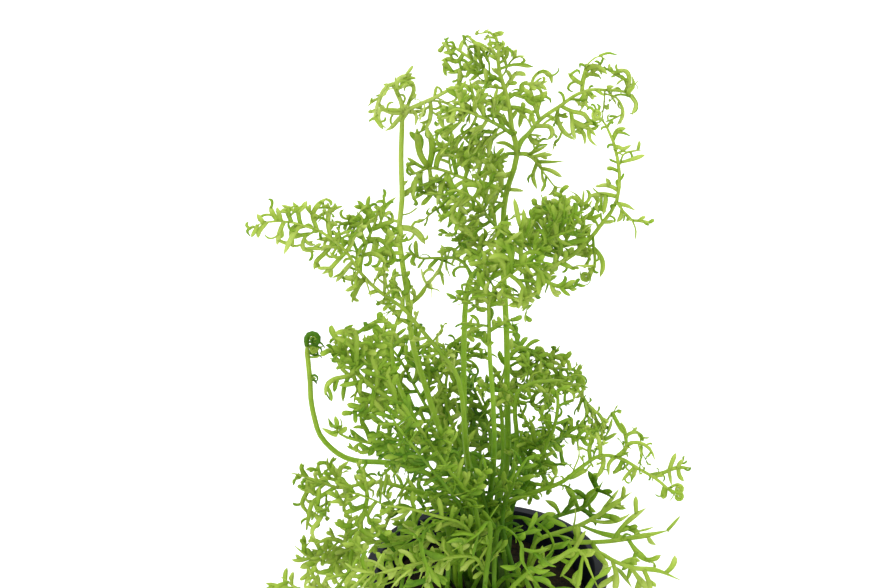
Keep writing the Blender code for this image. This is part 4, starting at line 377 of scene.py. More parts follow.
frond("middle_left_frond", (2, 248), (1.25, 0.7), 0.5, tone=0.52, full=0.35, plan="""
  route: 472,500,-9 -20,-26,-4 -24,-34,-3 -26,-32,-3 -20,-16,-2 -15,-8,-1 -13,-8,-1 -10,-6,-0.5 -10,-4,-0.5
    -6,-7,0 -3,-12,0
  stalks: 354,375 -4,-13 -5,-12 -4,-10 -9,3; 357,377 0,-15 0,-17 -2,-13 -6,-5 -4,7; 366,383 1,-15 0,-18
    -3,-16; 378,390 0,-16 -5,-16 3,-10; 353,376 -9,2 -10,1 -7,7 -2,10; 357,379 2,13 7,12 0,14; 372,388 1,14
    -4,10; 384,394 -2,14 2,12; 396,404 -2,-14 -6,-12 2,-12
  broad: 345,352 -6,-2 -7,-4
  narrow: 351,377 -7,11 -1,14; 337,379 -3,13; 362,382 -2,12; 347,371 -8,-9 -3,-6
  curls: 338,356 -6,-7 -6,-4; 352,327 -6,1 0,5; 340,379 -4,7 -2,6; 354,376 -14,2 -10,2 -5,10 5,10""")
frond("middle_upper_frond", (2, 125), (1.2, 0.65), 0.42, tone=0.47, full=0.45, plan="""
  route: 474,490,5 -20,-35,4 -20,-35,3 -16,-28,3 -12,-22,2 -10,-16,1 -8,-8,1 -8,1,0
  stalks: 406,370 7,-13 7,-10 8,-2; 397,356 6,-9 -1,-7; 410,378 -13,-4 -13,-6 -8,-10; 418,392 -14,0 -12,-4
    -10,-4; 420,396 8,-12 2,-12 -5,-12; 428,410 -15,-2 -13,-4 -12,-6; 434,420 -14,2 -14,-2 -12,-6; 436,424
    8,-12 4,-12 -6,-8; 400,360 -10,0 -8,-6
  broad: 412,382 6,-10 0,-10
  narrow: 446,444 -12,0 -10,4; 444,440 8,-12 6,-8""")
frond("middle_low_left_frond", (1, 205), (1.1, 0.65), 0.3, tone=0.42, full=0.4, plan="""
  route: 462,512,-10 -18,-28,-7 -20,-24,-5 -16,-20,-4 -12,-16,-2 -8,-14,-1
  stalks: 424,460 -14,-2 -12,-6 -10,-6; 412,445 -10,-3 -12,-4 -12,-8; 404,434 6,-12 -4,-12 -6,-8; 430,467
    -6,-17 1,-16 3,-14; 440,479 -2,-19 2,-16 -4,-12; 396,424 -8,0 -10,0
  broad: 428,465 -12,5 -12,0
  narrow: 448,490 -12,-2 -12,-4; 392,416 6,-6 -1,-6""")
frond("middle_centre_frond", (3, 100), (1.15, 0.65), 0.48, tone=0.54, full=0.45, plan="""
  route: 482,488,7 -12,-28,4 -16,-30,3 -8,-28,2 1,-26,1 7,-22,1 8,-12,0
  stalks: 447,375 -7,-13 4,-12 -1,-8; 449,368 9,-5 8,-7 5,-7; 446,388 -9,-8 -6,-10; 452,358 -4,-8 4,-8;
    446,392 9,-4 8,-6; 446,400 -8,2 -4,-8; 456,434 -10,-6 -12,0
  broad: 446,402 6,2 4,-6; 450,420 5,-3 5,-3
  narrow: 464,450 6,-12 6,-8
  curls: 462,358 10,4 6,8 -4,11""")
frond("right_middle_frond", (2, 58), (1.2, 0.6), 0.46, tone=0.53, full=0.45, plan="""
  route: 500,492,8 3,-37,4 -1,-35,3 -2,-30,2 6,-20,2 12,-8,1 16,2,1 16,4,1 14,1,1 12,2,1 8,15,0
  stalks: 505,372 5,-16 10,-8 12,1; 520,362 6,-8 8,-2; 535,364 5,-7 8,-5; 552,368 -1,-11 4,-9; 508,368 8,8
    10,-2; 534,364 8,10 10,4; 500,392 -8,-10 -6,-6; 524,363 4,13 -6,10
  broad: 545,367 8,-5 7,3
  narrow: 502,384 6,8 2,8; 562,369 3,9 8,2
  curls: 562,371 10,-2 8,6 5,12""")
frond("right_arching_frond", (2, 25), (1.3, 0.7), 0.5, tone=0.57, full=0.25, fine=0.84, plan="""
  route: 506,496,3 8,-28,2 3,-28,2 -2,-32,2 3,-17,1 12,-7,1 18,-3,1 18,1,1 12,8,1 10,15,1 9,15,1 5,14,0
    2,12,0
  stalks: 588,405 8,7 4,2; 602,434 4,-11 6,-11; 598,424 -6,-2 -5,-1; 582,396 -2,10 -2,7; 584,400 3,12 -3,9;
    548,381 -7,10 -8,6 0,8 8,2 8,-5; 560,381 8,9 6,4 -1,8; 530,384 4,-10 8,-2; 566,382 6,-7 8,1 5,12
  broad: 603,438 6,-8 3,-12
  narrow: 603,440 7,-3 7,-4; 532,398 -5,-5; 612,413 6,11 5,10; 520,390 0,8
  curls: 533,397 -3,-1 -3,-3; 602,438 -12,-7 -12,-4 -10,1; 578,428 0,9 0,13""")
frond("right_inner_frond", (1, 22), (1.15, 0.9), 0.34, tone=0.45, full=0.45, fine=0.85, plan="""
  route: 514,502,-3 14,-22,-3 12,-22,-3 10,-20,-2 6,-18,-1 2,-18,0 -1,-14,0
  stalks: 546,446 14,-8 12,-8 12,-8; 542,454 -8,-14 -1,-12 -4,-10; 556,440 10,-4 12,1; 530,477 -4,-15 -6,-12
    2,-12; 536,466 12,-4 10,4; 551,436 -7,-8 -3,-10
  broad: 542,460 11,6 3,11
  narrow: 554,428 -5,-8 1,-7; 556,424 8,-3 6,-3; 524,486 12,-2 10,2""")
frond("right_low_frond", (2, 352), (1.3, 0.75), 0.4, tone=0.6, full=0.45, fine=0.5, plan="""
  route: 508,504,-2 27,-12,-3 27,-10,-3 21,-16,-2 21,-11,-2 16,3,-1 19,11,-1 16,9,-1 13,11,0 9,8,0
  stalks: 604,455 0,9 -7,14; 616,457 6,-7 8,-7 11,0 9,6 5,11; 625,446 0,-10 12,-4 4,11; 622,459 -3,9 -6,6;
    634,466 -6,8 -6,7; 650,475 12,-2 13,-5 16,0; 590,461 -1,-13 3,-12 -9,-8; 600,456 0,-12 -4,-12; 641,444
    1,12 -5,9
  broad: 664,486 0,7 -1,6; 570,477 10,-5 8,-2
  narrow: 606,455 2,11 1,10; 625,438 -1,-9 -3,-7; 669,471 3,-9 4,-9; 678,469 5,-10; 668,472 4,13; 678,470
    6,11; 636,468 -3,11; 574,474 5,-18 -1,-15
  knobs: 672,492 7,5 4,3; 668,489 9,0 7,1
  curls: 637,432 5,4 -2,6; 625,436 -6,-11 -7,-12; 629,472 3,5 -1,5""")
frond("juvenile_front_4", (4, 243), (1.1, 0.9), 0.4, tone=0.44, plan="""
  route: 492,541,-13 -18,10,-5 -22,9,-4 -22,8,-3 -20,6,-2 -18,8,-1 -20,6,-1
  broad: 430,568 -2,12 8,16
  narrow: 446,562 -8,-9 -14,-1; 412,575 -8,13 -8,12
  curls: 478,566 6,6 8,1; 471,557 4,9 7,5 8,1""")
frond("juvenile_front_10", (4, 294), (1.1, 0.9), 0.4, tone=0.38, plan="""
  route: 510,518,-4 14,0,-3 14,6,-3 12,11,-3 4,12,-2 -9,11,-2
  broad: 536,523 10,-7 10,-3; 550,536 12,0 11,4
  narrow: 553,548 9,-2 8,-6""")
frond("low_left_frond_1", (1, 222), (1.1, 0.7), 0.42, tone=0.57, full=0.3, plan="""
  route: 462,524,-9 -26,-8,-3 -31,-8,-2 -27,-2,-1 -26,6,-1 -20,8,0 -14,6,0 -10,4,0
  stalks: 378,506 -12,-9 -12,-4 -9,1; 352,512 -6,-7 -8,-4 -9,2; 332,520 -8,-9 -9,-7; 362,509 -2,12 -10,6;
    395,507 -9,-10 -6,-7
  broad: 320,525 2,-9 -1,-8
  narrow: 318,526 -6,8 4,6; 410,510 -10,8 -10,2""")
frond("low_left_frond_2", (4, 195), (1.1, 0.7), 0.42, tone=0.61, full=0.3, plan="""
  route: 438,538,-14 -33,-1,-3 -30,5,-1 -25,7,-1 -18,7,-1 -14,4,0 -12,-5,0 -11,-9,0
  stalks: 375,542 -13,-8 -12,-3 -10,-3; 350,549 -10,-8 -12,-2 -12,5; 362,545 -5,11 -6,12; 340,553 -4,12
    -8,11 -6,8; 392,539 -10,-11 -12,-7
  broad: 318,560 -9,4 -9,4
  narrow: 306,555 -1,-7 5,-6; 420,538 -8,-10 -10,-4; 405,538 -9,10 -10,4""")
frond("low_left_frond_3", (1, 257), (1.1, 0.7), 0.4, tone=0.62, full=0.3, plan="""
  route: 470,556,-13 -24,2,-4 -30,6,-3 -28,7,-2 -26,7,-2 -20,6,-1 -17,4,-1 -11,-8,0 -5,-11,0
  stalks: 388,571 -14,-8 -12,-3; 362,578 -8,-9 -9,-6; 342,584 -10,10 -12,8; 376,574 -8,12 -8,10
  broad: 325,588 -13,2 -8,-4
  narrow: 416,564 -8,-10 -10,-4; 404,567 -6,13 -8,10""")
frond("low_left_frond_4", (0, 222), (1.1, 0.7), 0.36, tone=0.66, full=0.3, plan="""
  route: 446,548,-12 -22,12,-4 -28,14,-4 -28,14,-4 -26,9,-3 -24,0,-2 -18,-7,-1 -19,-13,0
  stalks: 342,598 -12,10 -14,6; 318,597 -14,7 -14,2
  broad: 300,590 -16,-1 -18,-6; 368,592 -12,12 -10,12
  narrow: 306,593 0,-10 5,-3; 356,596 -6,-8 -6,-4; 318,597 -6,-9 2,-8""")
frond("juvenile_front_11", (0, 222), (1.1, 0.9), 0.4, tone=0.36, plan="""
  route: 446,530,-8 -22,0,-3 -22,8,-3 -18,7,-1 -18,-1,-1
  broad: 404,537 -4,11 -8,8
  narrow: 420,531 -8,-7 -10,-2; 388,544 -8,-8 -10,-2""")
frond("front_upright_left", (4, 210), (1.1, 0.8), 0.42, tone=0.36, full=0.45, plan="""
  route: 472,508,-8 -13,-22,-3 -12,-18,-2 -9,-14,-1
  broad: 460,488 -9,-11 -3,-15; 465,497 -13,-4 -12,-4
  narrow: 452,475 -10,-1 -10,-4; 448,470 -2,-10 3,-10""")
frond("front_upright_right", (4, 310), (1.1, 0.8), 0.42, tone=0.36, full=0.45, plan="""
  route: 503,512,-8 8,-22,-3 7,-18,-2 10,-15,-1
  broad: 509,496 -5,-12 0,-13; 514,483 12,-5 10,-3
  narrow: 519,471 -5,-9 2,-11; 507,502 11,-5 12,-1""")
frond("juvenile_right_1", (0, 346), (1.2, 0.9), 0.55, tone=0.56, plan="""
  route: 538,540,2 22,-8,1 20,-7,1 20,-11,1 14,-10,0.5 18,-12,0.5
  broad: 600,514 9,-12 10,-13
  narrow: 614,504 6,2 6,-1; 590,519 16,2 16,-2 9,-6; 580,525 17,7 17,4 16,1""")
frond("juvenile_right_2", (0, 4), (1.3, 1.1), 0.6, tone=0.38, plan="""
  route: 545,522,8 21,-9,2 16,-5,1 11,-11,1 10,-16,1
  broad: 578,509 -5,-13 -9,-12; 584,506 6,-12 10,-8
  narrow: 573,498 6,-1 6,1; 588,503 3,7 5,2; 560,515 -6,-10 -9,-5""")
frond("juvenile_right_3", (0, 328), (1.3, 0.9), 0.48, tone=0.58, plan="""
  route: 540,552,-4 30,-9,-1 26,-1,-1 16,-1,0 18,-3,-0.5 18,-3,-0.5 22,-5,0
  broad: 610,541 10,-13 13,-11 13,-9; 626,539 12,14 12,10
  narrow: 636,537 8,-7 10,-3; 646,536 4,5 6,4; 644,558 8,1 9,-4; 648,562 7,2 -2,6
  curls: 622,537 4,-3 5,1""")
frond("juvenile_right_4", (0, 312), (1.3, 0.9), 0.46, tone=0.6, plan="""
  route: 540,566,-9 32,-12,-2 26,-2,-2 16,9,-1 20,7,-1 22,2,-1 24,10,-1
  broad: 632,567 8,13 12,14; 612,560 4,14 -2,22
  narrow: 616,565 8,11 8,12; 600,553 6,13 -8,10""")
frond("juvenile_right_5", (0, 296), (1.2, 0.9), 0.5, tone=0.54, plan="""
  route: 530,572,-13 26,-12,-2 20,-10,-1 8,6,-2 5,12,-1 9,20,-1
  broad: 580,552 -10,12 -10,13; 583,554 -3,18 -4,20
  narrow: 562,574 10,7 8,9; 594,580 9,-6 9,-8""")
frond("juvenile_front_1", (0, 280), (1.1, 0.9), 0.45, tone=0.36, plan="""
  route: 508,576,-14 16,0,-4 16,4,-2 16,10,-2 12,12,-2
  broad: 524,576 6,14 -2,16
  narrow: 540,580 8,-6 8,1; 528,592 10,8 4,10""")
frond("juvenile_front_5", (0, 214), (1.1, 0.9), 0.36, tone=0.38, plan="""
  route: 448,540,-9 -24,0,-2 -22,9,-1 -18,10,-1 -14,8,0
  broad: 424,540 -14,-8 -12,-2; 410,545 2,13 4,8
  narrow: 436,539 -8,-11 -8,-8; 400,550 -10,-6 -10,1""")
frond("juvenile_front_6", (4, 258), (1.1, 0.9), 0.45, tone=0.42, plan="""
  route: 487,522,-9 -9,11,-5 -13,10,-4 -13,8,-2
  broad: 476,535 -14,-2 -12,3
  narrow: 464,544 -8,-4 -10,3""")
frond("juvenile_front_7", (4, 228), (1.1, 0.9), 0.45, tone=0.36, plan="""
  route: 440,523,-14 -12,5,-4 -7,12,-3 2,16,-2 5,16,-2 -6,16,-1
  broad: 422,548 12,8 12,1; 427,566 7,10 7,12
  narrow: 422,538 -10,-5 -10,1""")
frond("juvenile_front_8", (0, 200), (1.1, 0.9), 0.4, tone=0.34, plan="""
  route: 450,512,-4 -18,-4,-4 -16,4,-2 -10,12,-2 -4,14,-1 6,14,-1
  broad: 416,512 -12,-6 -12,2; 405,526 -11,8 -10,6
  narrow: 426,509 -6,-9 -8,-4""")
frond("juvenile_front_9", (4, 276), (1.1, 0.9), 0.4, tone=0.36, plan="""
  route: 503,527,-9 11,7,-4 8,12,-4 0,14,-3 8,14,-3 10,14,-1
  broad: 516,537 14,-5 12,-2; 522,548 14,4 12,-4
  narrow: 523,562 -11,6 -12,-2; 528,570 12,2 10,-2""")
frond("front_upright_middle", (1, 276), (1.1, 0.8), 0.42, tone=0.34, full=0.45, plan="""
  route: 487,512,-5 -5,-22,-2 -2,-20,-1 4,-18,-1
  broad: 483,492 -9,-10 -5,-12; 485,500 10,-9 6,-11
  narrow: 481,478 8,-8 4,-10; 480,472 -6,-10 -1,-10""")
frond("back_left_frond", (0, 135), (1.15, 0.7), 0.34, full=0.45, plan="""
  route: 466,500,10 -16,-24,5 -18,-18,5 -18,-11,4 -18,-3,3 -14,5,2
  stalks: 432,464 -8,-12 -4,-12; 414,456 -6,-10 -8,-6; 424,460 -6,12 -8,10; 404,456 -6,12 -6,10; 440,470
    4,-14 -4,-10
  broad: 396,456 -8,-6 -8,0
  narrow: 450,480 -10,6 -10,2""")
frond("back_centre_frond", (0, 92), (1.15, 0.7), 0.34, full=0.5, plan="""
  route: 482,484,12 -2,-24,6 2,-20,6 5,-14,4 7,-8,3
  stalks: 482,446 -10,-8 -4,-10; 487,432 -7,-10 2,-10; 482,446 10,-2 10,2; 480,458 -10,-4 -8,-4; 481,455
    11,1 8,4
  broad: 490,430 8,4 8,2
  narrow: 480,468 8,-2 6,4""")
frond("back_right_frond", (0, 56), (1.15, 0.7), 0.34, full=0.45, plan="""
  route: 498,492,10 14,-22,5 14,-16,5 14,-8,4 13,0,3 9,7,2
  stalks: 526,458 0,-12 6,-10; 540,452 4,-10 8,-4; 530,456 8,8 10,4; 516,468 8,6 10,2; 514,470 -4,-14 4,-10
  broad: 544,453 4,9 -2,10
  narrow: 508,478 8,6 8,2""")
frond("back_upright_frond", (2, 78), (1.15, 0.7), 0.4, full=0.5, plan="""
  route: 492,478,9 0,-26,7 -4,-27,6 -8,-23,5 -7,-16,4 1,-11,3
  stalks: 471,402 -9,-6 -6,-10; 469,392 9,-4 6,-8; 474,412 10,-4 6,-10; 476,420 -10,-2 -8,-6; 468,386 -8,-8
    0,-8
  broad: 480,434 8,-6 6,-8
  narrow: 482,440 -8,0 -8,-4""")


def place(spots, depths):
    """Points seen at (across, down) in the front view, on the upright planes at those depths."""
    right = (spots[:, 0] - VIEW_CENTRE[0]) / VIEW_FOCAL
    rise = (VIEW_CENTRE[1] - spots[:, 1]) / VIEW_FOCAL
    forward = math.cos(VIEW_TILT) + rise * math.sin(VIEW_TILT)
    up = rise * math.cos(VIEW_TILT) - math.sin(VIEW_TILT)
    reach = (depths - EYE[1]) / forward
    return EYE + np.stack((right, forward, up), axis=1) * reach[:, None]


def seen_at(points):
    """Where points show in the front view."""
    offset = points - EYE
    away = offset[:, 1] * math.cos(VIEW_TILT) - offset[:, 2] * math.sin(VIEW_TILT)
    rise = offset[:, 1] * math.sin(VIEW_TILT) + offset[:, 2] * math.cos(VIEW_TILT)
    across = VIEW_CENTRE[0] + VIEW_FOCAL * offset[:, 0] / away
    down = VIEW_CENTRE[1] - VIEW_FOCAL * rise / away
    return np.stack((across, down), axis=-1)


def unit(vector):
    return vector / max(np.linalg.norm(vector), 1e-9)


def distances(path):
    """Length along a path at each of its points."""
    return np.concatenate(([0.0], np.cumsum(np.linalg.norm(np.diff(path, axis=0), axis=1))))


def smooth(points):
    """A curve through the points, as points at an even spacing."""
    knots = distances(points)
    slopes = np.gradient(points, knots, axis=0)
    along = np.linspace(0.0, knots[-1], max(3, round(knots[-1] / PATH_STEP) + 1))
    cell = np.clip(np.searchsorted(knots, along, side="right") - 1, 0, len(knots) - 2)
    span = np.diff(knots)[cell][:, None]
    u = (along - knots[cell])[:, None] / span
    start = (2 * u ** 3 - 3 * u ** 2 + 1) * points[cell] + (u ** 3 - 2 * u ** 2 + u) * span * slopes[cell]
    end = (3 * u ** 2 - 2 * u ** 3) * points[cell + 1] + (u ** 3 - u ** 2) * span * slopes[cell + 1]
    return start + end


def straight_sided(path):
    """The path with straight sides between the corners that keep it within FACET_BOW of its curve."""
    kept = {0, len(path) - 1}
    spans = [(0, len(path) - 1)]
    while spans:
        low, high = spans.pop()
        offset = path[low:high + 1] - path[low]
        chord = unit(path[high] - path[low])
        away = np.linalg.norm(offset - np.outer(offset @ chord, chord), axis=1)
        worst = low + int(np.argmax(away))
        if away.max() > FACET_BOW:
            kept.add(worst)
            spans += [(low, worst), (worst, high)]
    corners = path[sorted(kept)]
    pieces = []
    for low, high in zip(corners, corners[1:]):
        count = max(1, round(np.linalg.norm(high - low) / PATH_STEP))
        pieces.append(low + (high - low) * np.arange(count)[:, None] / count)
    return np.vstack(pieces + [corners[-1:]])


def frames(path, facing):
    """Along, side and face directions at each point of a path."""
    along = np.gradient(path, axis=0)
    along /= np.linalg.norm(along, axis=1)[:, None]
    face = np.zeros_like(along)
    last = facing
    for index, ahead in enumerate(along):
        kept = last + FACING_PULL * facing
        last = unit(kept - ahead * ahead.dot(kept))
        face[index] = last
    return along, np.cross(along, face), face


def nearest(shoots, spot, line="path"):
    """The shoot whose path or drawn curve shows nearest to a place in the front view, and where on it."""
    best = None
    for shoot in shoots:
        gaps = np.linalg.norm(seen_at(getattr(shoot, line)) - spot, axis=1)
        index = int(np.argmin(gaps))
        if best is None or gaps[index] < best[0]:
            best = (gaps[index], shoot, index)
    return best[1:]


def nearest_drawn(shoots, spot):
    """The drawn point that shows nearest to a place in the front view."""
    shoot, index = nearest(shoots, spot, "drawn")
    return shoot.drawn[index]


class Taken:
    """The space that stalks and leaves already fill, as balls along them."""

    def __init__(self):
        self.centres = np.zeros((0, 3))
        self.radii = np.zeros(0)

    def add(self, path, radius):
        self.centres = np.vstack((self.centres, path))
        self.radii = np.concatenate((self.radii, np.full(len(path), radius)))

    def room(self, path, radius):
        """Smallest clear distance between a path of that radius and everything taken near it."""
        low, high = path.min(axis=0) - SEARCH_REACH, path.max(axis=0) + SEARCH_REACH
        near = ((self.centres > low) & (self.centres < high)).all(axis=1)
        if not near.any():
            return SEARCH_REACH
        reach = np.linalg.norm(path[:, None, :] - self.centres[None, near, :], axis=2)
        return float((reach - self.radii[None, near]).min() - radius)


def clear_of_pot(path, radius):
    """True if the path stays out of the pot's wall and rim, above the plug and off the crown."""
    reach = np.hypot(path[:, 0], path[:, 1])
    margin = radius + CLEARANCE
    widths, heights = zip(*CROWN_PROFILE)
    crown = np.interp(path[:, 2], heights, widths, right=-1.0)
    low = path[:, 2] < POT_HEIGHT + margin
    in_rim = low & (reach > WALL_TOP_RADIUS - WALL - margin) & (reach < RIM_RADIUS + margin)
    in_plug = (path[:, 2] < PLUG_TOP + margin) & (reach < RIM_RADIUS)
    return not (in_rim | in_plug | (reach < crown + margin)).any() and path[:, 2].min() > margin


def pushed(points, stray, ramp):
    """The points moved in depth but not in the front view, fully so from that share of the length on."""
    share = distances(points)
    share = np.minimum(1.0, share / (ramp * share[-1]))
    moved = place(seen_at(points), points[:, 1] + share * stray)
    moved[0] = points[0]
    return moved


def settle(points, radius, taken, skip):
    """A path near the points that keeps clear of all that is taken, past its first stretch."""
    strays = [0.0] + [side * step * STRAY_STEP for step in range(1, STRAY_TRIES + 1) for side in (1, -1)]
    for share in LENGTH_SHARES:
        kept = points[:max(3, round(share * len(points)))]
        for stray in strays:
            for ramp in PUSH_RAMPS:
                curve = pushed(kept, stray, ramp)
                path = straight_sided(curve)
                free = path[distances(path) > skip]
                if len(free) and clear_of_pot(free, radius) and taken.room(free, radius) > CLEARANCE:
                    return path, curve
    return None


class Shoot:
    """A stalk, leaf or bud: its solid's path, its smooth curve, and the stretches its shoots grow from."""

    def __init__(self, kind, path, curve, halves, facing):
        self.kind, self.path, self.curve = kind, path, curve
        self.halves, self.facing = halves, facing
        self.lengths = distances(path)
        self.total = self.lengths[-1]
        self.along, self.side, self.face = frames(path, facing)
        self.slots = []

    def index_at(self, position):
        return min(int(np.searchsorted(self.lengths, position - 1e-9)), len(self.path) - 1)

    def half_at(self, position):
        return self.halves[0] + (self.halves[1] - self.halves[0]) * position / self.total

    def free_slot(self, position, width, hand):
        """The nearest stretch with that side free: opposite or beside another shoot's, or on its own."""
        options = []
        shifts = range(-STRETCH_TRIES, STRETCH_TRIES + 1)
        starts = [position - width / 2 + shift * STRETCH_SHIFT for shift in shifts]
        for low, high, _ in self.slots:
            held = {slot[2] for slot in self.slots if slot[0] == low}
            for other in {1, -1} - held:
                cost = abs((low + high) / 2 - position) + SWAP_COST * (other != hand)
                options.append((cost, low, high, other))
            starts += [high, low - width]
        for start in starts:
            low = min(max(start, BARE_FOOT), self.total - BARE_TIP - width)
            gaps = [max(low - slot[1], slot[0] - low - width) for slot in self.slots]
            if low > BARE_FOOT - 1e-9 and all(abs(gap) < 1e-7 or gap > STRETCH_GAP for gap in gaps):
                beside = any(abs(gap) < 1e-7 for gap in gaps)
                cost = abs(low + width / 2 - position) + SHARE_REACH * (SHARE_EASE if beside else 1.0)
                options.append((cost, low, low + width, hand))
        return min(options)[1:] if options else None


def foot_of(spec, first, radius, roots, turn):
    """Where a frond starts: on a whorl of the crown, or just off its parent's side."""
    if isinstance(spec["foot"][0], str):
        parent, index = nearest([roots[spec["foot"][0]]], spec["foot"][1])
        away = first - parent.path[index]
        away = unit(away - parent.along[index] * parent.along[index].dot(away))
        gap = (parent.half_at(parent.lengths[index]) + radius) * FOOT_GAP + CLEARANCE
        return parent.path[index] + away * gap
    whorl, bearing = spec["foot"]
    reach, height = WHORLS[whorl]
    angle = math.radians(bearing + turn)
    return np.array((reach * math.cos(angle), reach * math.sin(angle), height))


def grow_routes(taken):
    """Settle every frond's main stalk, its foot turned a little round the crown if that gives it room."""
    roots = {}
    for name, spec in FRONDS.items():
        halves = [girth * MM / 2 for girth in spec["girth"]]
        route = place(spec["route"][0][:, :2], spec["route"][0][:, 2] * MM)
        for turn in FOOT_TURNS if isinstance(spec["foot"][0], int) else FOOT_TURNS[:1]:
            points = smooth(np.vstack((foot_of(spec, route[0], halves[0], roots, turn), route)))
            found = settle(points, halves[0] * SECTION_REACH, taken, 0.0)
            if found:
                taken.add(found[0], halves[0] * SECTION_REACH)
                roots[name] = Shoot("route", *found, halves, unit(EYE - found[0][-1]))
                break
    return roots


def grow_branch(kind, trace, shoots, turn, taken):
    """One piece of a frond on the side of the nearest stalk, settled if it finds room, or nothing."""
    half = (BROAD_WIDTH if kind == "broad" else BRANCH_WIDTH) / 2
    parent, index = nearest(shoots, trace[0])
    start = parent.path[index]
    ahead = place(trace[1:2], start[1:2])[0] - start
    hand = 1 if ahead.dot(parent.side[index]) > 0 else -1
    slot = parent.free_slot(parent.lengths[index], half * STRETCH_WIDTH, hand)
    if slot is None:
        return None
    low, high, hand = slot
    index = parent.index_at((low + high) / 2)
    base = parent.path[index] + parent.side[index] * hand * parent.half_at((low + high) / 2)
    swing = SWING * np.linalg.norm(np.diff(trace, axis=0), axis=1).sum() * math.sin(SWING_TURN * turn)
    depths = base[1] + swing * np.linspace(0.0, 1.0, len(trace))
    points = smooth(np.vstack((base, place(trace, depths)[1:])))
    radius = KNOB_RADIUS if kind == "knobs" else half
    found = settle(points, radius, taken, FOOT_SKIP + radius)
    shoot = Shoot(kind, *(found or (straight_sided(points), points)), (half, half * TIP_SHARE),
                  parent.face[index])
    shoot.settled, shoot.parent, shoot.spot = bool(found), parent, trace[0]
    if found:
        parent.slots.append(slot)
        taken.add(shoot.path, radius)
    return shoot


def grow_branches(name, root, taken):
    """Settle what grows on one frond: each piece leaves the nearest stalk and keeps clear."""
    shoots, grown = [root], []
    kinds = ("stalks", "broad", "narrow", "knobs")
    traces = [(kind, trace) for kind in kinds for trace in FRONDS[name].get(kind, [])]
    for turn, (kind, trace) in enumerate(traces, 1):
        shoot = grow_branch(kind, trace, shoots, turn, taken)
        if shoot:
            grown.append(shoot)
            if shoot.settled and kind in ("stalks", "broad"):
                shoots.append(shoot)
    return grown


def turned(name, profile, sides):
    """A turned solid, drawn by extruding a circle ring by ring up, over and down its profile."""
    bpy.ops.object.select_all(action="DESELECT")
    bpy.ops.mesh.primitive_circle_add(vertices=sides, radius=1.0, fill_type="NGON")
    thing = bpy.context.object
    thing.name = name
    bpy.ops.object.mode_set(mode="EDIT")
    bpy.ops.mesh.select_all(action="SELECT")
    radius, height = 1.0, 0.0
    for step, (wanted, level) in enumerate(profile):
        rise = {"value": (0, 0, level - height)}
        if step:
            bpy.ops.mesh.extrude_region_move(TRANSFORM_OT_translate=rise)
        else:
            bpy.ops.transform.translate(**rise)
        ratio = wanted / radius
        bpy.ops.transform.resize(value=(ratio, ratio, 1.0), center_override=(0, 0, level))
        radius, height = wanted, level
    bpy.ops.mesh.select_all(action="SELECT")
    bpy.ops.mesh.normals_make_consistent(inside=False)
    bpy.ops.object.mode_set(mode="OBJECT")
    return thing


class Template:
    """A closed tube of unit length and radius, made once and then laid along many curves."""

    def __init__(self, sides, rings):
        thing = turned("tube", [(1.0, step / (rings - 1)) for step in range(rings)], sides)
        mesh = thing.data
        self.points = np.array([vertex.co for vertex in mesh.vertices])
        self.ring = np.rint(self.points[:, 2] * (rings - 1)).astype(int)
        # The frames along a curve are left-handed, so each face is turned over to keep the outside out
        self.faces = [tuple(face.vertices)[::-1] for face in mesh.polygons]
        self.rings = rings
        bpy.data.objects.remove(thing, do_unlink=True)
        bpy.data.meshes.remove(mesh)


def along_curve(curve, count):
    """The curve as that many evenly spaced points."""
    lengths = distances(curve)
    wanted = np.linspace(0.0, lengths[-1], count)
    return np.stack([np.interp(wanted, lengths, curve[:, axis]) for axis in range(3)], axis=1)


def scaled(shape, half):
    """The shape's widths as shares of that half width."""
    return [(share, half * width) for share, width in shape]


class Sheaf:
    """One frond's drawn mesh, gathered from tubes and blades laid along curves."""

    def __init__(self):
        self.points, self.faces, self.tones, self.count = [], [], [], 0

    def lay(self, template, curve, wide, thick, facing, tone, twist=0.0):
        """Lay the template along a curve, with its half width, half thickness and tone given along it."""
        centre = along_curve(curve, template.rings)
        _, side, face = frames(centre, facing)
        u = np.linspace(0.0, 1.0, template.rings)
        turn = twist * u
        across = side * np.cos(turn)[:, None] + face * np.sin(turn)[:, None]
        deep = face * np.cos(turn)[:, None] - side * np.sin(turn)[:, None]
        ring = template.ring
        half_wide, half_thick = (np.interp(u, *zip(*shape))[ring] for shape in (wide, thick))
        self.points.append(centre[ring] + across[ring] * (template.points[:, 0] * half_wide)[:, None]
                           + deep[ring] * (template.points[:, 1] * half_thick)[:, None])
        self.faces += [tuple(corner + self.count for corner in face) for face in template.faces]
        self.tones.append(np.interp(u, (0.0, 1.0), tone)[ring])
        self.count += len(ring)

    def make(self, name, material):
        mesh = bpy.data.meshes.new(name)
        mesh.from_pydata(np.vstack(self.points).tolist(), [], self.faces)
        mesh.polygons.foreach_set("use_smooth", [True] * len(mesh.polygons))
        mesh.attributes.new("tone", "FLOAT", "POINT").data.foreach_set("value", np.concatenate(self.tones))
        mesh.materials.append(material)
        thing = bpy.data.objects.new(name, mesh)
        bpy.context.scene.collection.objects.link(thing)
        return thing


def rooted(curve, start, reach=0.6):
    """The curve bent so that it starts at that point and meets itself again further on."""
    share = distances(curve)
    share = share / share[-1]
    return curve + (start - curve[0]) * (np.clip(1.0 - share / reach, 0.0, 1.0) ** 2)[:, None]


def arc(start, ahead, axis, length, turn, count=9):
    """A curve that leaves a point in a direction and turns round an axis, faster towards its tip."""
    angle = turn * np.linspace(0.0, 1.0, count) ** 1.6
    steps = ahead * np.cos(angle)[:, None] + np.cross(axis, ahead) * np.sin(angle)[:, None]
    middle = (steps[:-1] + steps[1:]) / 2 * (length / (count - 1))
    return np.vstack((start, start + np.cumsum(middle, axis=0)))


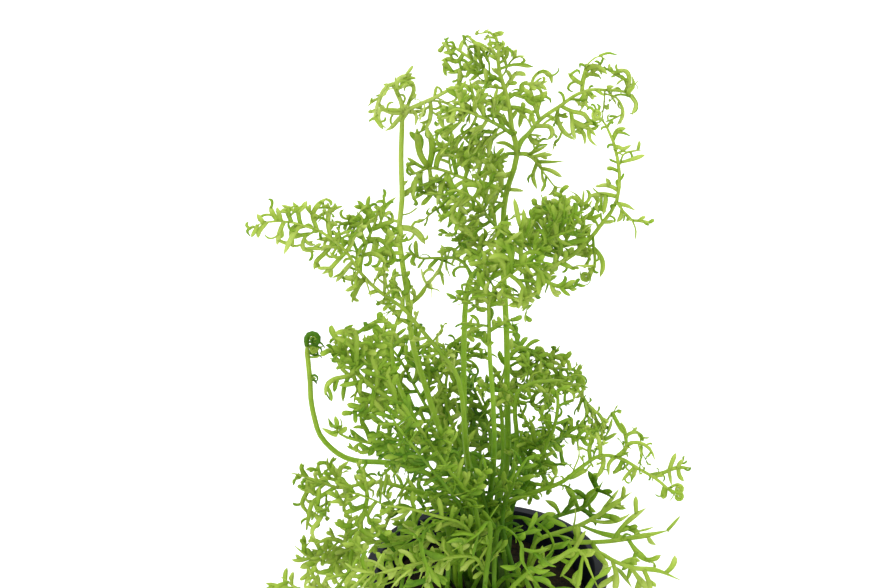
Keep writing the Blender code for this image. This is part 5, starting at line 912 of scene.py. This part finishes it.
class Artist:
    """Draws one frond on its settled curves."""

    def __init__(self, name, templates, parents):
        self.spec = FRONDS[name]
        self.tone = self.spec["tone"]
        self.young = name.startswith("juvenile")
        self.rolled = name == "left_fiddlehead"
        self.stem, self.stalk, self.blade, self.leaf = templates
        self.sheaf = Sheaf()
        self.random = np.random.default_rng(sum(ord(c) * (i + 3) for i, c in enumerate(name)))
        self.parents = parents
        self.drawn = []

    def within(self, low, high):
        return float(self.random.uniform(low, high))

    def wobble(self, spread):
        return self.within(-spread, spread)

    def chance(self, share):
        return self.random.random() < share

    def route(self, root):
        """The main stalk, from inside the crown or from the parent's own stalk."""
        parent, spot = self.spec["foot"]
        on_crown = isinstance(parent, int)
        if on_crown:
            start = root.curve[0] * CROWN_INSET - CROWN_SINK
        else:
            start = nearest_drawn([self.parents[parent]], spot)
        root.drawn = rooted(root.curve, start, 0.2)
        self.drawn.append(root)
        base, tip = root.halves
        bare = self.spec["bare"]
        wide = [(0.0, base * 1.12), (0.05, base), (bare, (base + tip) / 2), (0.96, tip * 0.8),
                (1.0, tip * 0.25)]
        thick = wide
        if self.young:
            wide = [(0.0, base), (0.25, base * 0.8), (0.45, 0.00050), (0.72, 0.00052), (0.87, 0.00066),
                    (1.0, 0.00006)]
            thick = [(0.0, base), (0.25, base * 0.7), (0.45, 0.00035), (1.0, 0.0001)]
        # Stalks are darker towards their feet; the larger drop for old fronds on the crown is painted shade
        # where their feet crowd into it
        deep = 0.26 if on_crown and not self.young else 0.10
        self.sheaf.lay(self.stem, root.drawn, wide, thick, root.face[0], (self.tone - deep, self.tone + 0.10))
        self.leaflets(root, bare, 1.0)

    def branch(self, shoot):
        """A side stalk, a leaf segment or a bud, from its place on the stalk that carries it."""
        shoot.drawn = rooted(shoot.curve, nearest_drawn([shoot.parent], shoot.spot))
        self.drawn.append(shoot)
        tone = self.tone + self.wobble(0.10)
        facing = unit(shoot.facing + 0.5 * np.array([self.wobble(1.0) for _ in range(3)]))
        if shoot.kind == "knobs":
            self.coil(shoot.drawn, tone)
            return
        old, young, thin, twist, foot, tip, bare, spread = BRANCHES[shoot.kind]
        half = young if self.young else old
        if self.rolled and shoot.kind == "narrow":
            half = FINE_SEGMENT
        self.sheaf.lay(self.stalk if shoot.kind == "stalks" else self.blade, shoot.drawn,
                       scaled(LOBE if self.young else BLADE, half), scaled(FLAT, thin), facing,
                       (tone + foot, tone + tip), self.wobble(twist) if twist else 0.0)
        if spread:
            self.leaflets(shoot, bare, spread)

    def coil(self, curve, tone):
        """A tip rolled up like a small crozier."""
        way = unit(curve[-1] - curve[-3])
        centre = curve[-1] - way * KNOB_RADIUS
        facing = unit(EYE - centre)
        outward = unit(np.cross(EYE - centre, way))
        way = unit(np.cross(outward, EYE - centre))
        angle = np.linspace(0.0, 3.4 * math.pi, 30)
        reach = KNOB_RADIUS * np.linspace(0.82, 0.22, 30)
        roll = (centre + outward * (reach * np.cos(angle))[:, None] + way * (reach * np.sin(angle))[:, None]
                + facing * np.linspace(0.0, 0.0004, 30)[:, None])
        gap = np.linalg.norm(curve - centre, axis=1) > KNOB_RADIUS * 1.3
        stalk = along_curve(curve[gap], 4) if gap.sum() > 1 else curve[:1]
        path = along_curve(smooth(np.vstack((stalk, roll[::3]))), 80)
        shape = scaled([(0.0, 0.8), (0.4, 1.0), (1.0, 0.7)], ROLL_THICK)
        self.sheaf.lay(self.stem, path, shape, shape, facing, (tone, tone + 0.05))

    def leaflets(self, shoot, bare, spread):
        if not self.rolled:
            spread = YOUNG_SPREAD if self.young else spread
            self.fringe(along_curve(shoot.drawn, 70), shoot.facing, bare, spread, 1.0, shoot.slots)

    def fringe(self, curve, facing, bare, spread, size, taken=()):
        """Short segments on both sides of a stalk, some of them twigs with segments of their own."""
        lengths = distances(curve)
        total = lengths[-1]
        along, side, face = frames(curve, facing)
        full = self.spec["full"] if size == 1.0 and spread == 1.0 else 0.0
        position = bare * total + FIRST_LEAFLET
        hand = 1 if self.chance(0.5) else -1
        while position < total - BARE_TIP:
            index = int(np.searchsorted(lengths, position))
            if not any(low - STRETCH_GAP < position < high + STRETCH_GAP and hand == other
                       for low, high, other in taken):
                twig = self.chance(full) and position < total * LAST_TWIG
                self.leaflet(curve[index], along[index], side[index] * hand, face[index],
                             size * (1.15 - 0.4 * position / total), twig)
            hand = -hand
            position += LEAFLET_SPACING * spread * size ** 0.5 * self.within(*SPACING_SHARES)

    def leaflet(self, start, ahead, outward, face, size, twig):
        """One short segment, plain, hooked or forked, or a twig; none where it would fill an opening."""
        normal = self.random.normal
        lean = math.radians(self.within(*LEAN))
        lift = float(normal(0.0, 0.30))
        direction = unit(ahead * math.cos(lean) + outward * math.sin(lean) + face * lift)
        axis = unit(np.cross(direction, outward) + face * 0.5 * float(normal(0.0, 1.0)))
        axis = unit(axis - direction * axis.dot(direction))
        fine = self.spec["fine"]
        hooked = not self.young and self.chance(0.22 + 1.1 * (1.0 - fine))
        turn = math.radians(self.within(*(HOOKED_TURN if hooked else PLAIN_TURN)))
        turn *= 1 if self.chance(0.65) else -1
        length = LEAFLET_LENGTH * size * self.within(*LENGTH_RANGE) * (TWIG_LENGTH if twig else 1.0) * fine
        half = LEAFLET_WIDTH / 2 * self.within(*WIDTH_SHARES) * (HOOKED_WIDTH if hooked else 1.0) * fine
        if self.young:
            half *= YOUNG_WIDTH
            length *= YOUNG_LENGTH
        tone = self.tone + self.wobble(0.10)
        if twig:
            turn *= TWIG_TURN
        curve = arc(start, direction, axis, length, turn)
        across, down = seen_at(curve[-1:])[0]
        if any(left < across < right and top < down < bottom for left, top, right, bottom in OPENINGS):
            return
        facing = unit(face + 0.34 * np.array([float(normal()) for _ in range(3)]))
        self.sheaf.lay(self.leaf, curve, scaled(BLADE, half), scaled(FLAT, LEAFLET_THICK), facing,
                       (tone, tone - 0.12) if hooked else (tone - 0.04, tone + 0.12), self.wobble(0.6))
        if twig:
            self.fringe(along_curve(curve, 30), facing, *TWIG_FRINGE)
        elif size > 0.65 and not hooked and self.chance(0.6):
            # A lobe that leaves the segment at its middle
            at = 3 if self.chance(0.5) else 4
            way = unit(curve[at + 1] - curve[at - 1])
            split = unit(way + np.cross(axis, way) * (0.75 if self.chance(0.5) else -0.75))
            lobe = arc(curve[at], split, axis, length * self.within(*LOBE_LENGTHS), turn * 0.5)
            self.sheaf.lay(self.leaf, lobe, scaled(BLADE, half * 0.9), scaled(FLAT, LOBE_THICK), facing,
                           (tone, tone + 0.12))

    def curl(self, trace):
        """A thin curl in the front view's plane, from the nearest point of the frond."""
        start = nearest_drawn(self.drawn, trace[0])
        depths = start[1] + np.linspace(0.0, self.wobble(0.0015), len(trace))
        curve = smooth(np.vstack((start, place(trace, depths)[1:])))
        thick, tone = CURL_THICK, self.tone
        if self.rolled:
            thick, tone = (HEAD_THICK, HEAD_TONE) if len(trace) > 6 else (FINE_THICK, FINE_TONE)
        shape = scaled([(0.0, 1.0), (0.6, 0.9), (1.0, 0.35)], thick)
        self.sheaf.lay(self.stalk, curve, shape, shape, unit(EYE - start), (tone, tone - 0.15))


def add_node(tree, kind, **inputs):
    node = tree.nodes.new("ShaderNode" + kind)
    for socket, value in inputs.items():
        node.inputs[socket].default_value = value
    return node


def wire(tree, *links):
    for source, output, target, socket in links:
        tree.links.new(source.outputs[output], target.inputs[socket])


def grained(name, stops, scale, detail, strength, depth, roughness, gloss):
    """A surface with fine noise for its relief, and a ramp for its colour that is still to be fed."""
    material = bpy.data.materials.new(name)
    material.use_nodes = True
    tree = material.node_tree
    shader = tree.nodes["Principled BSDF"]
    shader.inputs["Roughness"].default_value = roughness
    shader.inputs["Specular IOR Level"].default_value = gloss
    noise = add_node(tree, "TexNoise", Scale=scale, Detail=detail)
    bump = add_node(tree, "Bump", Strength=strength, Distance=depth)
    ramp = add_node(tree, "ValToRGB")
    colours = ramp.color_ramp.elements
    for _ in stops[2:]:
        colours.new(1.0)
    for element, (position, colour) in zip(colours, stops):
        element.position, element.color = position, (*colour, 1.0)
    wire(tree, (add_node(tree, "TexCoord"), "Object", noise, "Vector"), (noise, "Fac", bump, "Height"),
         (bump, "Normal", shader, "Normal"), (ramp, "Color", shader, "Base Color"))
    return material, tree, shader, noise, ramp


def leaf_material():
    """Thin leaf tissue: tone, which holds painted shade as well as the leaves' own lightness, and fine
    mottling set the green, and some light comes through.
    """
    material, tree, shader, noise, ramp = grained("leaf_tissue", LEAF_RAMP, *LEAF_FINISH)
    tone = add_node(tree, "Attribute")
    tone.attribute_name = "tone"
    spread = add_node(tree, "Math")
    spread.operation = "MULTIPLY_ADD"
    spread.inputs[1].default_value = MOTTLING
    spread.inputs[2].default_value = -MOTTLING / 2
    total = add_node(tree, "Math")
    total.operation = "ADD"
    through = add_node(tree, "BsdfTranslucent")
    mix = add_node(tree, "MixShader")
    mix.inputs[0].default_value = THROUGH_SHARE
    wire(tree, (noise, "Fac", spread, 0), (tone, "Fac", total, 0), (spread, 0, total, 1),
         (total, 0, ramp, "Fac"), (ramp, "Color", through, "Color"), (shader, "BSDF", mix, 1),
         (through, "BSDF", mix, 2), (mix, "Shader", tree.nodes["Material Output"], "Surface"))
    return material


def finish(thing, name):
    """Give a piece its one finish, whose colour drifts between a dark and a light one."""
    dark, light, scale, depth, roughness, gloss = FINISHES[name]
    stops = [(0.35, dark), (0.65, light)]
    material, tree, _, noise, ramp = grained(name, stops, scale, 6.0, 1.0, depth, roughness, gloss)
    wire(tree, (noise, "Fac", ramp, "Fac"))
    thing.data.materials.clear()
    thing.data.materials.append(material)
    return thing


def wall_radius(height):
    """Outside radius of the tapering pot wall."""
    return FOOT_RADIUS + (WALL_TOP_RADIUS - FOOT_RADIUS) * height / POT_HEIGHT


def add_modifier(thing, kind, **settings):
    modifier = thing.modifiers.new(kind.lower(), kind)
    for key, value in settings.items():
        setattr(modifier, key, value)


def apply_all(thing):
    bpy.ops.object.select_all(action="DESELECT")
    thing.select_set(True)
    bpy.context.view_layer.objects.active = thing
    for modifier in list(thing.modifiers):
        bpy.ops.object.modifier_apply(modifier=modifier.name)


def make_lumpy(thing, scale, depth, **settings):
    """Push a cloud pattern's lumps out of a piece's surface, and smooth it."""
    clouds = bpy.data.textures.new(thing.name + "_lumps", "CLOUDS")
    clouds.noise_scale = scale
    clouds.noise_depth = depth
    add_modifier(thing, "DISPLACE", texture=clouds, texture_coords="LOCAL", **settings)
    apply_all(thing)
    bpy.ops.object.shade_smooth()


def make_pot():
    """The net pot, with a rolled rim, a ring of slots under it and softened edges."""
    top = POT_HEIGHT
    low = top - RIM_DROP
    profile = [(wall_radius(0.0) - 0.0006, 0.0), (wall_radius(0.0), 0.0006), (wall_radius(0.015), 0.015),
               (wall_radius(0.030), 0.030), (wall_radius(low), low)]
    profile += [(RIM_RADIUS - inset, level) for inset, level in (
        (0.0007, low), (0.0001, low + 0.0005), (0.0, low + 0.0012), (0.0001, top - 0.0007),
        (0.0005, top - 0.0002), (0.0011, top))]
    profile += [(WALL_TOP_RADIUS - WALL + 0.0004, top), (WALL_TOP_RADIUS - WALL, top - 0.0004),
                (wall_radius(0.030) - WALL, 0.030), (wall_radius(FLOOR_THICKNESS) - WALL, FLOOR_THICKNESS)]
    pot = turned("pot_shell", profile, POT_SIDES)
    bpy.ops.mesh.primitive_cube_add(size=1.0, location=(0, 0, 0))
    cutter = bpy.context.object
    bpy.ops.object.mode_set(mode="EDIT")
    bpy.ops.mesh.select_all(action="SELECT")
    bpy.ops.transform.resize(value=(SLOT_DEPTH, SLOT_WIDTH, SLOT_TOP - SLOT_BOTTOM))
    bpy.ops.transform.translate(value=(SLOT_REACH, 0.0, (SLOT_TOP + SLOT_BOTTOM) / 2))
    step = 2 * math.pi / SLOTS
    bpy.ops.transform.rotate(value=step / 2, orient_axis="Z", center_override=(0, 0, 0))
    for _ in range(SLOTS - 1):
        bpy.ops.mesh.duplicate_move()
        bpy.ops.transform.rotate(value=step, orient_axis="Z", center_override=(0, 0, 0))
    bpy.ops.object.mode_set(mode="OBJECT")
    add_modifier(pot, "BOOLEAN", operation="DIFFERENCE", solver="EXACT", object=cutter)
    add_modifier(pot, "BEVEL", width=EDGE_SOFTNESS, segments=2, limit_method="ANGLE",
                 angle_limit=math.radians(50))
    apply_all(pot)
    bpy.data.objects.remove(cutter, do_unlink=True)
    bpy.ops.object.shade_smooth_by_angle(angle=math.radians(40))
    return finish(pot, "pot_plastic")


def make_plug():
    """The growing plug, with an uneven fibrous top."""
    low = FLOOR_THICKNESS + 0.0003
    rings = [(wall_radius(low) - WALL - 0.0005, low),
             (wall_radius(PLUG_TOP - 0.002) - WALL - 0.0005, PLUG_TOP - 0.002),
             (wall_radius(PLUG_TOP) - WALL - 0.0014, PLUG_TOP - 0.0006)]
    rings += [(PLUG_TOP_RADIUS * share, PLUG_TOP - 0.0004)
              for share in (0.93, 0.84, 0.75, 0.66, 0.57, 0.48, 0.39, 0.3, 0.2, 0.1)]
    plug = turned("plug_body", rings, PLUG_SIDES)
    make_lumpy(plug, 0.0022, 3, direction="Z", strength=0.0014, mid_level=0.6)
    # Its near-black colour is partly painted shade inside the pot
    return finish(plug, "plug_fibre")


def make_crown():
    crown = turned("crown_body", CROWN_PROFILE, CROWN_SIDES)
    make_lumpy(crown, 0.002, 2, strength=0.0008)
    return finish(crown, "crown_tissue")


def keep(piece, node):
    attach(piece, "root")
    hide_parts(node)


def draw_plant():
    taken = Taken()
    taken.add(np.array([(0.0, 0.0, POT_HEIGHT)]), 0.001)
    roots = grow_routes(taken)
    branches = {name: grow_branches(name, root, taken) for name, root in roots.items()}
    templates = (Template(10, 40), Template(6, 12), Template(6, 9), Template(6, 8))
    material = leaf_material()
    for name, root in roots.items():
        artist = Artist(name, templates, roots)
        artist.route(root)
        for shoot in branches[name]:
            artist.branch(shoot)
        for trace in FRONDS[name].get("curls", []):
            artist.curl(trace)
        piece = artist.sheaf.make(name + "_leaves", material)
        keep(piece, name)


def make_stage():
    bpy.ops.mesh.primitive_plane_add(size=FLOOR_SIZE, location=(0, 0, 0))
    floor = bpy.context.object
    floor.name = "floor"
    material = bpy.data.materials.new("floor_white")
    material.use_nodes = True
    shader = material.node_tree.nodes["Principled BSDF"]
    world = bpy.data.worlds.new("studio")
    world.use_nodes = True
    bpy.context.scene.world = world
    sky = world.node_tree.nodes["Background"]
    for node, socket, value in ((shader, "Base Color", FLOOR_COLOUR), (shader, "Roughness", 0.9),
                                (shader, "Specular IOR Level", 0.1), (sky, "Color", (1.0, 1.0, 1.0, 1.0)),
                                (sky, "Strength", 1.0)):
        node.inputs[socket].default_value = value
    floor.data.materials.append(material)
    for spot, aim, size, power in LAMPS:
        bpy.ops.object.light_add(type="AREA", location=spot)
        lamp = bpy.context.object
        lamp.data.size = size
        lamp.data.energy = power
        toward = np.array(aim) - np.array(spot)
        lamp.rotation_euler = (math.atan2(math.hypot(toward[0], toward[1]), -toward[2]), 0.0,
                               math.atan2(toward[1], toward[0]) - math.pi / 2)


def make_camera():
    bpy.ops.object.camera_add(location=tuple(EYE), rotation=(math.pi / 2 - VIEW_TILT, 0.0, 0.0))
    camera = bpy.context.object
    camera.data.sensor_width = 36.0
    camera.data.lens = VIEW_FOCAL / VIEW_WIDTH * camera.data.sensor_width
    camera.data.clip_start = 0.01
    bpy.context.scene.camera = camera


draw_plant()
keep(make_pot(), "pot")
keep(make_plug(), "growing_plug")
keep(make_crown(), "crown")
make_stage()
make_camera()
bpy.context.scene.view_settings.view_transform = "Standard"
